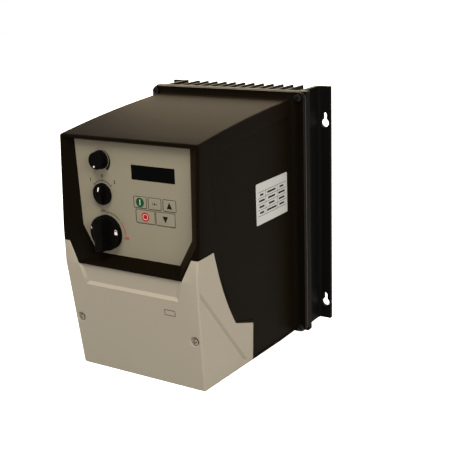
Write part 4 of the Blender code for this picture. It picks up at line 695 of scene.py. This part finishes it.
class DRIVE_OT_screws(bpy.types.Operator):
    """Cross-head screws of the cover and of the housing's rim"""

    bl_idname = "drive.screws"
    bl_label = "Screws"

    def execute(self, context):
        for side in ("left", "right"):
            node = "cover_screw_" + side
            cross_head("cover_screw_head_" + side, node, 0.0017, 0.8, 0.0007, "steel_zinc_dulled")
            for level in ("lower", "upper"):
                corner = level + "_" + side
                node = "housing_screw_" + corner
                cross_head("rim_screw_" + corner, node, 0.0024, 0.58, 0.00042, "steel_black_oxide")
        return {"FINISHED"}


class DRIVE_OT_panel(bpy.types.Operator):
    """Control panel with its printed scales"""

    bl_idname = "drive.panel"
    bl_label = "Control panel"

    def execute(self, context):
        sizes = context.scene.drive_sizes
        rounded_copy("control_panel", "panel_overlay", 0.0, "polyester_film_velvet_grey")
        line = sizes.line_width
        place = on_panel
        ink = ("ink_screened_dark", "drive", "panel_grey")
        red = ("ink_screened_red", "drive", "panel_grey")
        centre = (SPEED_AXIS[0], SPEED_AXIS[2])
        grow = np.linspace(0, 1, 64)
        band("speed_wedge", centre, 0.0088, 0.0089 + 0.0026 * grow, 10, 148, place, *ink, steps=64)
        centre = (SELECTOR_AXIS[0], SELECTOR_AXIS[2])
        band("selector_arc", centre, 0.0119, 0.0119 + line, -50, 50, place, *ink)
        for name, angle in (("left", -50), ("middle", 0), ("right", 50)):
            half = math.degrees(line / 0.0122) / 2
            band("selector_tick_" + name, centre, 0.0112, 0.0136, angle - half, angle + half, place, *ink, steps=4)
        digit = 0.0042
        word("selector_zero", "0", digit, (centre[0], centre[1] + 0.0163), PANEL_FACE, *ink)
        word("selector_one", "1", digit, (centre[0] - 0.0138, centre[1] + 0.0118), PANEL_FACE, *ink)
        word("selector_two", "2", digit, (centre[0] + 0.0138, centre[1] + 0.0118), PANEL_FACE, *ink)
        centre = (ISOLATOR_AXIS[0] + 0.0004, ISOLATOR_AXIS[2] - 0.0010)
        band("isolator_on_arc", centre, 0.0193, 0.0193 + line, 0, 45, place, *ink)
        band("isolator_off_arc", centre, 0.0193, 0.0193 + line, 52, 90, place, *red)
        half = math.degrees(line / 0.02) / 2
        band("isolator_on_tick", centre, 0.0180, 0.0208, -half, half, place, *ink, steps=4)
        word("isolator_on", "ON", 0.0034, (centre[0] - 0.0042, centre[1] + 0.0202), PANEL_FACE, *ink)
        word("isolator_off", "OFF", 0.0034, (centre[0] + 0.0206, centre[1] - 0.0028), PANEL_FACE, *red)
        return {"FINISHED"}


class DRIVE_OT_display(bpy.types.Operator):
    """Tinted window and the numeral display behind it"""

    bl_idname = "drive.display"
    bl_label = "Display"

    def execute(self, context):
        rounded_copy("display_window", "tinted_window", 0.00015, "acrylic_cast_tinted")
        dress("epoxy_transfer_moulded", "display_module")
        return {"FINISHED"}


def key_middle(node):
    """Middle of a key's front face, as (x, z), and the height of that face over the panel."""
    low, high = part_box(node)
    return (low.x + high.x) / 2, (low.z + high.z) / 2, PANEL_FACE - low.y


class DRIVE_OT_keys(bpy.types.Operator):
    """Five keys with their frames and symbols, and the switches under them"""

    bl_idname = "drive.keys"
    bl_label = "Keys"

    def execute(self, context):
        sizes = context.scene.drive_sizes
        upper = (0.013, 0.0098)
        lower = (0.0198, 0.0115)
        spans = {"start": upper, "navigate": upper, "up": upper, "stop": lower, "down": lower}
        for key, (width, height) in spans.items():
            node = key + "_key"
            rounded_copy(node, key + "_button", 0.0002, "polyester_film_velvet_grey", 1)
            x, z, proud = key_middle(node)
            frame_gap = 0.0006
            hoop(
                key + "_frame",
                (x, z),
                width + frame_gap,
                height + frame_gap,
                0.0009,
                sizes.line_width * 0.6,
                on_panel,
                "ink_screened_dark",
                "drive",
            )
            dress("epoxy_transfer_moulded", key + "_switch")
        self.start_mark("start_button")
        self.stop_mark("stop_button")
        self.arrows()
        self.navigate_mark("navigate_button")
        return {"FINISHED"}

    def start_mark(self, body):
        """Green disc with an upright white bar."""
        x, z, proud = key_middle("start_key")
        top = proud + 0.00006
        axis = (x, 0, z)
        turned("start_disc", [(0.0043, proud - 0.0002), (0.0043, top)], axis, PANEL_FACE, "ink_screened_green", body, "panel_grey")
        bar = rounded_rectangle(0.0006, 0.0050, 0.0002) + (x, z)
        slab("start_bar", bar, on_panel, "ink_screened_white", body, "panel_grey", proud, top + 0.00006)

    def stop_mark(self, body):
        """Red disc with a white ring."""
        x, z, proud = key_middle("stop_key")
        top = proud + 0.00006
        axis = (x, 0, z)
        turned("stop_disc", [(0.0041, proud - 0.0002), (0.0041, top)], axis, PANEL_FACE, "ink_screened_red", body, "panel_grey")
        band("stop_ring", (x, z), 0.0024, 0.00272, 0, 360, on_panel, "ink_screened_white", body, "panel_grey", 60, top + 0.00006)

    def arrows(self):
        """Dark triangles on the up and down keys."""
        for key, sign in (("up", 1), ("down", -1)):
            x, z, proud = key_middle(key + "_key")
            outline = [(x - 0.0029, z - sign * 0.0027), (x + 0.0029, z - sign * 0.0027), (x, z + sign * 0.0030)]
            slab(
                key + "_arrow",
                outline,
                on_panel,
                "ink_screened_dark",
                key + "_button",
                "panel_grey",
                proud - 0.0002,
                proud + 0.00006,
            )

    def navigate_mark(self, body):
        """Small dark diamond between two short bars."""
        x, z, proud = key_middle("navigate_key")
        diamond = [(x - 0.0011, z), (x, z - 0.0011), (x + 0.0011, z), (x, z + 0.0011)]
        slab("navigate_diamond", diamond, on_panel, "ink_screened_dark", body, "panel_grey", proud - 0.0002, proud + 0.00006)
        for side, sign in (("left", -1), ("right", 1)):
            bar = rounded_rectangle(0.0004, 0.0020, 0.0001) + (x + sign * 0.0021, z)
            name = "navigate_bar_" + side
            slab(name, bar, on_panel, "ink_screened_dark", body, "panel_grey", proud - 0.0002, proud + 0.00006)


class DRIVE_OT_speed_knob(bpy.types.Operator):
    """Fluted speed knob with a white dot at its minimum"""

    bl_idname = "drive.speed_knob"
    bl_label = "Speed knob"

    def execute(self, context):
        sizes = context.scene.drive_sizes
        f = sizes.knob_fillet
        a = np.linspace(0, math.pi / 2, 7)
        profile = [(0.0056, 0.0006), (0.0085, 0.0006), (0.0085, 0.0018), (0.0081, 0.0022)]
        weights = [0, 0, 0, 0.4]
        flank = np.linspace(0.0024, 0.0085 - f, 6)
        profile += [(0.0081 - 0.05 * (h - 0.0024), h) for h in flank]
        weights += [1.0] * len(flank)
        edge = profile[-1][0]
        profile += [(edge - f * (1 - math.cos(t)), 0.0085 - f * (1 - math.sin(t))) for t in a[1:]]
        weights += (np.cos(a[1:]) ** 2).tolist()
        profile += [(edge - f - 0.0008, 0.00846), (0.0045, 0.00835), (0.0002, 0.0083)]
        weights += [0, 0, 0]
        wave = (sizes.flute_count, sizes.flute_depth, weights)
        knob = turned(
            "fluted_knob", profile, SPEED_AXIS, PANEL_FACE, "phenolic_tumbled_black", "speed_control", "knob_plastic", wave, 240
        )
        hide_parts("speed_knob")
        angle = math.radians(198)
        spot = (SPEED_AXIS[0] + 0.0055 * math.sin(angle), 0, SPEED_AXIS[2] + 0.0055 * math.cos(angle))
        rows = [(0.00085, 0.0080), (0.00085, 0.00848), (0.0007, 0.0085)]
        turned("speed_dot", rows, spot, PANEL_FACE, "ink_screened_white", "speed_control", "knob_plastic", count=32)
        dress("steel_zinc_plated", "potentiometer_shaft")
        dress("epoxy_transfer_moulded", "potentiometer")
        dress("brass_turned", "potentiometer_nut")
        return {"FINISHED"}


class DRIVE_OT_selector_knob(bpy.types.Operator):
    """Selector with a narrow finger bar and a white line"""

    bl_idname = "drive.selector_knob"
    bl_label = "Selector knob"

    def execute(self, context):
        f = context.scene.drive_sizes.knob_fillet
        ride = ("phenolic_tumbled_black", "mode_selector", "knob_plastic")
        half = 0.0094
        crown = 0.0078
        fall = 0.0034
        disc = turned("selector_disc", crown_profile(0.010, 0.0006, 0.0032, f), SELECTOR_AXIS, PANEL_FACE, *ride)
        bar = grip("selector_bar", SELECTOR_AXIS, 0.00325, half, 0.0030, crown, f, 0.0, 2.6, fall, *ride)
        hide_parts("selector_knob")
        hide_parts("selector_knob")

        def on_crown(u, v, height):
            return on_panel(u, v, crown + height - fall * ((v - SELECTOR_AXIS[2]) / half) ** 2)

        middle = (SELECTOR_AXIS[0], SELECTOR_AXIS[2] + 0.0052)
        strip("selector_line", middle, 0.0010, 0.0035, on_crown, "ink_screened_white", "mode_selector")
        dress("steel_zinc_plated", "selector_spindle")
        dress("epoxy_transfer_moulded", "selector_switch")
        dress("brass_turned", "selector_nut")
        return {"FINISHED"}


class DRIVE_OT_isolator_handle(bpy.types.Operator):
    """Isolator handle with its finger bar, its padlock sign and its white mark"""

    bl_idname = "drive.isolator_handle"
    bl_label = "Isolator handle"

    def execute(self, context):
        f = context.scene.drive_sizes.knob_fillet
        ride = ("phenolic_tumbled_black", "isolator", "knob_plastic")
        axis = ISOLATOR_AXIS
        disc = turned("isolator_disc", crown_profile(0.0163, 0.0006, 0.006, 0.7 * f), axis, PANEL_FACE, *ride)
        bar = grip("isolator_bar", axis, 0.00525, 0.01545, 0.0055, 0.0155, 2.0 * f, 0.16, 5.0, 0.0, *ride)
        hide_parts("isolator_handle")
        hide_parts("isolator_handle")
        self.padlock(axis[0] + 0.0137, axis[2] + 0.0030)
        mark = rounded_rectangle(0.0009, 0.0022, 0.0002) + (axis[0] - 0.0143, axis[2] + 0.0040)
        slab("isolator_mark", mark, on_panel, "ink_screened_white", "isolator", "knob_plastic", 0.0056, 0.00606)
        dress("steel_zinc_plated", "isolator_shaft")
        dress("epoxy_transfer_moulded", "isolator_switch")
        dress("brass_turned", "isolator_nut")
        return {"FINISHED"}

    def padlock(self, x, z):
        """Padlock sign: a rounded block with a round opening above it."""
        ink = ("ink_screened_white", "isolator", "knob_plastic")
        low = 0.0057
        top = 0.00606
        block = rounded_rectangle(0.0032, 0.0028, 0.0004) + (x, z - 0.0012)
        slab("padlock_block", block, on_panel, *ink, low, top)
        band("padlock_shackle", (x, z + 0.0008), 0.0008, 0.0013, -90, 90, on_panel, *ink, steps=24, high=top)
        for side, sign in (("left", -1), ("right", 1)):
            leg = rounded_rectangle(0.0005, 0.0014, 0.0001) + (x + sign * 0.00105, z + 0.0003)
            slab("padlock_leg_" + side, leg, on_panel, *ink, low, top)


class DRIVE_OT_side_label(bpy.types.Operator):
    """Blank label with empty ruled fields on the right side"""

    bl_idname = "drive.side_label"
    bl_label = "Side label"

    def execute(self, context):
        sizes = context.scene.drive_sizes
        middle = (0.0914, 0.15025)
        top = 0.00012
        film = rounded_rectangle(sizes.label_width, sizes.label_height, 0.0015) + middle
        slab("label_sheet", film, on_side, "polyester_label_matt", "drive", "black_plastic", -0.0001, top)
        ruled = sizes.label_width - 0.006
        rule = 0.0004
        for row in range(5):
            level = middle[1] + sizes.label_height / 2 - 0.0085 - 0.0057 * row
            outline = rounded_rectangle(ruled, rule, 0.0001) + (middle[0], level)
            slab(f"label_rule_{row}", outline, on_side, "ink_screened_dark", "drive", "black_plastic", 0.0, top + 0.00004)
        upright = 0.0228
        for column, across in enumerate((-0.010, 0.012)):
            place = (middle[0] + across, middle[1] - 0.00015)
            outline = rounded_rectangle(rule, upright, 0.0001) + place
            slab(f"label_column_{column}", outline, on_side, "ink_screened_dark", "drive", "black_plastic", 0.0, top + 0.00003)
        for row in range(4):
            level = middle[1] + sizes.label_height / 2 - 0.01135 - 0.0057 * row
            for column, (across, longest) in enumerate(((-0.0181, 0.0125), (0.001, 0.018), (0.0191, 0.0105))):
                share = 0.6 + 0.4 * ((3 * row + 2 * column) % 4) / 3
                outline = rounded_rectangle(longest * share, 0.0018, 0.0002) + (middle[0] + across, level)
                name = f"label_bar_{row}_{column}"
                slab(name, outline, on_side, "ink_screened_dark", "drive", "black_plastic", 0.0, top + 0.00003)
        return {"FINISHED"}


class DRIVE_OT_cable_entries(bpy.types.Operator):
    """Blanking plugs in the bottom wall"""

    bl_idname = "drive.cable_entries"
    bl_label = "Cable entries"

    def execute(self, context):
        for side in ("left", "middle", "right"):
            rounded_copy("entry_plug_" + side, "plug_" + side, 0.0002, "phenolic_tumbled_black", 2)
        return {"FINISHED"}


class DRIVE_OT_electronics(bpy.types.Operator):
    """Boards, terminals and power parts inside the closed housing"""

    bl_idname = "drive.electronics"
    bl_label = "Electronics"

    def execute(self, context):
        dress("glass_epoxy_green_resist", "control_board", "power_board")
        dress("steel_zinc_plated", "board_screw_upper_left", "board_screw_upper_right", "board_screw_lower_right")
        dress("steel_zinc_plated", "module_screw")
        dress("polyamide_moulded_green", "control_terminals")
        dress("polyamide_moulded_grey", "mains_terminals", "motor_terminals")
        dress("epoxy_transfer_moulded", "data_port", "power_module")
        dress("vinyl_extruded_ribbon", "ribbon_cable")
        dress("vinyl_shrunk_blue", "dc_link_capacitor_left", "dc_link_capacitor_right")
        dress("copper_enamelled_wound", "filter_choke")
        dress("nylon_moulded_natural", "inrush_relay")
        for level in ("lower", "upper"):
            dress("nylon_moulded_natural", f"board_support_{level}_left", f"board_support_{level}_right")
        dress("brass_turned", "earth_screw")
        return {"FINISHED"}


class DRIVE_OT_stage(bpy.types.Operator):
    """Pale studio floor with its backdrop, soft lamps and the camera"""

    bl_idname = "drive.stage"
    bl_label = "Stage"

    def execute(self, context):
        self.floor(context)
        self.lamps(context)
        self.camera(context)
        return {"FINISHED"}

    def floor(self, context):
        """Floor that sweeps up into a backdrop: a line, a quarter circle and a line carried across X."""
        size = context.scene.drive_sizes.floor_size
        bend = 1.2
        a = np.linspace(-math.pi / 2, 0, 17)
        y = np.concatenate([[-size / 2], size / 2 - bend + bend * np.cos(a), [size / 2]])
        z = np.concatenate([[0.0], bend + bend * np.sin(a), [size / 2]])
        x = np.array([-size, size])
        points = np.stack(
            [np.repeat(x[:, None], len(y), 1), np.tile(y, (2, 1)), np.tile(z, (2, 1))], axis=-1
        ).reshape(-1, 3)
        index = np.arange(len(y) - 1)
        count = len(y)
        faces = np.stack([index, index + 1, index + 1 + count, index + count], axis=-1)
        mesh = bpy.data.meshes.new("studio_floor")
        mesh.from_pydata(points.tolist(), [], faces[:, ::-1].tolist())
        mesh.shade_smooth()
        material = bpy.data.materials.new("paper_seamless_white")
        material.use_nodes = True
        tree = material.node_tree
        tree.nodes.clear()
        # Seamless paper: matt, it keeps the shadow and shows as white to the camera, and it throws back
        # no more light than a grey table, so that slopes which face up and down stay apart
        base = context.scene.drive_colours.floor
        grey = context.scene.drive_colours.bounce
        path = add(tree, "ShaderNodeLightPath")
        bounce = add(tree, "ShaderNodeBsdfDiffuse", {"Color": grey, "Roughness": 0.0})
        diffuse = add(tree, "ShaderNodeBsdfDiffuse", {"Color": base, "Roughness": 0.0})
        glow = add(tree, "ShaderNodeEmission", {"Color": base, "Strength": 0.79})
        both = add(tree, "ShaderNodeAddShader", None, {0: diffuse.outputs["BSDF"], 1: glow.outputs["Emission"]})
        mirrored = add(
            tree,
            "ShaderNodeMath",
            None,
            {0: path.outputs["Is Glossy Ray"], 1: path.outputs["Is Transmission Ray"]},
            operation="MAXIMUM",
        )
        seen = add(
            tree,
            "ShaderNodeMath",
            None,
            {0: path.outputs["Is Camera Ray"], 1: mirrored.outputs["Value"]},
            operation="MAXIMUM",
        )
        pick = add(
            tree,
            "ShaderNodeMixShader",
            None,
            {"Fac": seen.outputs["Value"], 1: bounce.outputs["BSDF"], 2: both.outputs["Shader"]},
        )
        add(tree, "ShaderNodeOutputMaterial", None, {"Surface": pick.outputs["Shader"]})
        mesh.materials.append(material)
        obj = bpy.data.objects.new("studio_floor", mesh)
        context.scene.collection.objects.link(obj)

    def lamps(self, context):
        """Large soft lamps above, to the left and to the right, and a pale surround."""
        world = bpy.data.worlds.new("studio")
        context.scene.world = world
        world.use_nodes = True
        tree = world.node_tree
        tree.nodes.clear()
        path = add(tree, "ShaderNodeLightPath")
        through = add(
            tree,
            "ShaderNodeMath",
            None,
            {0: path.outputs["Is Glossy Ray"], 1: path.outputs["Is Transmission Ray"]},
            operation="MAXIMUM",
        )
        seen = add(
            tree,
            "ShaderNodeMath",
            None,
            {0: path.outputs["Is Camera Ray"], 1: through.outputs["Value"]},
            operation="MAXIMUM",
        )
        fill = add(tree, "ShaderNodeBackground", {"Color": (1, 1, 1, 1), "Strength": 0.22})
        white = add(tree, "ShaderNodeBackground", {"Color": (1, 1, 1, 1), "Strength": 1.0})
        pick = add(
            tree,
            "ShaderNodeMixShader",
            None,
            {"Fac": seen.outputs["Value"], 1: fill.outputs["Background"], 2: white.outputs["Background"]},
        )
        add(tree, "ShaderNodeOutputWorld", None, {"Surface": pick.outputs["Shader"]})
        target = Vector((0.0, 0.0, 0.12))
        plain = (1.0, 0.95, 0.87)
        amber = (1.0, 0.8, 0.52)
        for name, place, side, power, tone in (
            ("lamp_top", (0.3, -0.85, 1.75), 0.9, 42.0, plain),
            ("lamp_left", (-1.8, -0.6, 0.9), 1.2, 5.0, plain),
            ("lamp_right", (1.75, -1.0, 1.0), 0.8, 34.0, plain),
            ("lamp_back", (-1.1, 1.9, 0.9), 1.0, 21.0, amber),
            ("lamp_wall", (0.2, 2.4, 0.9), 1.2, 26.0, plain),
        ):
            light = bpy.data.lights.new(name, "AREA")
            light.shape = "SQUARE"
            light.size = side
            light.energy = power
            light.color = tone
            lamp = bpy.data.objects.new(name, light)
            lamp.location = place
            lamp.rotation_euler = (target - Vector(place)).to_track_quat("-Z", "Y").to_euler()
            context.scene.collection.objects.link(lamp)

    def camera(self, context):
        """Camera at the photograph's place: turned, tipped down and rolled as the drive's edges show."""
        yaw = math.radians(-32.33)
        pitch = math.radians(16.76)
        roll = math.radians(2.08)
        forward = Vector((math.sin(yaw) * math.cos(pitch), math.cos(yaw) * math.cos(pitch), -math.sin(pitch)))
        right = Vector((math.cos(yaw), -math.sin(yaw), 0.0))
        down = forward.cross(right)
        across = right * math.cos(roll) + down * math.sin(roll)
        up = right * math.sin(roll) - down * math.cos(roll)
        data = bpy.data.cameras.new("camera")
        data.sensor_width = 36.0
        data.lens = 68.95
        data.clip_start = 0.05
        data.clip_end = 60.0
        camera = bpy.data.objects.new("camera", data)
        turn = Matrix((across, up, -forward)).transposed()
        camera.matrix_world = Matrix.Translation((0.4766, WALL - 0.7981, 0.3632)) @ turn.to_4x4()
        context.scene.collection.objects.link(camera)
        context.scene.camera = camera
        context.scene.view_settings.view_transform = "Standard"


OPERATORS = (
    DRIVE_OT_stage,
    DRIVE_OT_heat_sink,
    DRIVE_OT_housing,
    DRIVE_OT_terminal_cover,
    DRIVE_OT_screws,
    DRIVE_OT_panel,
    DRIVE_OT_display,
    DRIVE_OT_keys,
    DRIVE_OT_speed_knob,
    DRIVE_OT_selector_knob,
    DRIVE_OT_isolator_handle,
    DRIVE_OT_side_label,
    DRIVE_OT_cable_entries,
    DRIVE_OT_electronics,
)


class DRIVE_PT_panel(bpy.types.Panel):
    """Sidebar panel that lists the drive's pieces, sizes and colours"""

    bl_idname = "DRIVE_PT_panel"
    bl_label = "Variable frequency drive"
    bl_space_type = "VIEW_3D"
    bl_region_type = "UI"
    bl_category = "Drive"

    def draw(self, context):
        layout = self.layout
        for operator in OPERATORS:
            layout.operator(operator.bl_idname)
        for group in (context.scene.drive_sizes, context.scene.drive_colours):
            for name in group.bl_rna.properties.keys():
                if name not in ("rna_type", "name"):
                    layout.prop(group, name)


CLASSES = (DriveSizes, DriveColours, *OPERATORS, DRIVE_PT_panel)


def register():
    """Registers the classes and hangs the settings on the scene."""
    for cls in CLASSES:
        bpy.utils.register_class(cls)
    bpy.types.Scene.drive_sizes = PointerProperty(type=DriveSizes)
    bpy.types.Scene.drive_colours = PointerProperty(type=DriveColours)


def unregister():
    """Takes the settings and the classes away again."""
    del bpy.types.Scene.drive_colours
    del bpy.types.Scene.drive_sizes
    for cls in reversed(CLASSES):
        bpy.utils.unregister_class(cls)


def main():
    """Registers the add-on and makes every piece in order."""
    register()
    for operator in OPERATORS:
        group, name = operator.bl_idname.split(".")
        getattr(getattr(bpy.ops, group), name)()


if __name__ == "__main__":
    main()
